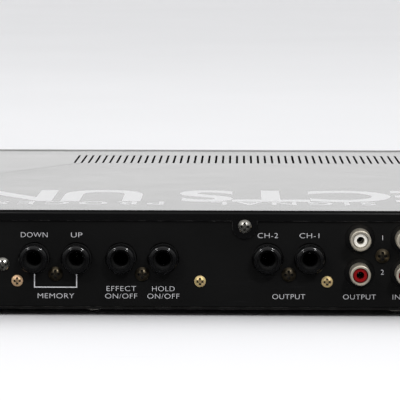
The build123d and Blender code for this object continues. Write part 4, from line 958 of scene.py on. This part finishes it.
def soft_box(name, place, target, width, height, power, mirrored=True):
    """A soft light that looks at a target, and shows in reflections unless it is told not to."""
    light = bpy.data.lights.new(name, "AREA")
    light.shape = "RECTANGLE"
    light.size, light.size_y = width, height
    light.energy = power
    lamp = bpy.data.objects.new(name, light)
    lamp.location = place
    lamp.rotation_mode = "QUATERNION"
    lamp.rotation_quaternion = (Vector(target) - Vector(place)).to_track_quat("-Z", "Y")
    lamp.visible_glossy = mirrored
    bpy.context.scene.collection.objects.link(lamp)


WALL_SHINE = 2.05
ROOM_SHINE = 0.50
OVERHEAD = 1.0
BACKDROP_WHITE = 0.93


def surroundings():
    """A white room: plain to the camera, lit from overhead; reflections see a bright far wall."""
    world = bpy.data.worlds.new("white_room")
    bpy.context.scene.world = world
    world.use_nodes = True
    tree = world.node_tree
    tree.nodes.clear()
    output = put(tree, "OutputWorld")
    toward = put(tree, "TexCoord").outputs["Generated"]
    parts = put(tree, "SeparateXYZ", {0: toward})
    far_wall = spread(tree, parts.outputs["Y"], 0.1, -0.75)
    low_down = spread(tree, parts.outputs["Z"], 0.48, 0.12)
    above = spread(tree, parts.outputs["Z"], -0.04, 0.02)
    mirrored = maths(tree, "MULTIPLY", maths(tree, "MULTIPLY", far_wall, low_down), above)
    near_side = spread(tree, parts.outputs["Y"], -0.1, 0.5, 0.02, 1.0)
    climbing = spread(tree, parts.outputs["Z"], 0.0, 0.5, 0.07, ROOM_SHINE)
    near_side = maths(tree, "MULTIPLY", near_side, climbing)
    mirrored = maths(tree, "ADD", maths(tree, "MULTIPLY", mirrored, WALL_SHINE), near_side)
    overhead = spread(tree, parts.outputs["Z"], 0.10, 0.55, 0.1, OVERHEAD)
    path = put(tree, "LightPath").outputs
    ambient = put(tree, "Mix", {"Factor": path["Is Glossy Ray"]}, data_type="FLOAT")
    tree.links.new(overhead, ambient.inputs[2])
    tree.links.new(mirrored, ambient.inputs[3])
    shown = put(tree, "Mix", {"Factor": path["Is Camera Ray"]}, data_type="FLOAT")
    tree.links.new(ambient.outputs[0], shown.inputs[2])
    shown.inputs[3].default_value = BACKDROP_WHITE
    light = put(tree, "Background", {"Color": (1.0, 1.0, 1.0, 1.0), "Strength": shown.outputs[0]})
    tree.links.new(light.outputs[0], output.inputs[0])


LENS = 217.5
STANDING_BACK = 981 * MM
EYE_HEIGHT = 153.1 * MM
EYE_ACROSS = 2.05 * MM
AIM_HEIGHT = 47.56 * MM
AIM_ACROSS = 18.29 * MM
ROLL = math.radians(0.088)


def camera():
    """A long lens behind the unit and a little above it, turned a shade off square."""
    data = bpy.data.cameras.new("camera")
    data.lens = LENS
    data.sensor_width = 36.0
    data.clip_end = 100.0
    eye = bpy.data.objects.new("camera", data)
    place = Vector((EYE_ACROSS, REAR_Y + STANDING_BACK, BASE_Z + EYE_HEIGHT))
    target = Vector((AIM_ACROSS, REAR_Y, BASE_Z + AIM_HEIGHT))
    roll = Matrix.Rotation(ROLL, 4, "Z")
    aim = (target - place).to_track_quat("-Z", "Y").to_matrix().to_4x4()
    eye.matrix_world = Matrix.Translation(place) @ aim @ roll
    bpy.context.scene.collection.objects.link(eye)
    bpy.context.scene.camera = eye


floor()
surroundings()
camera()
AIM = (0, REAR_Y, 0)
soft_box("key_light", (-0.45, REAR_Y + 1.0, 0.80), AIM, width=0.16, height=0.12, power=4.2)
soft_box("fill_light", (0.60, REAR_Y + 0.9, 0.75), AIM, width=0.20, height=0.15, power=2.1)
soft_box(
    "back_light", (0, -0.6, 1.5), (0, -0.6, 0), width=1.2, height=1.0, power=4.0, mirrored=False
)
bpy.context.scene.view_settings.view_transform = "Standard"
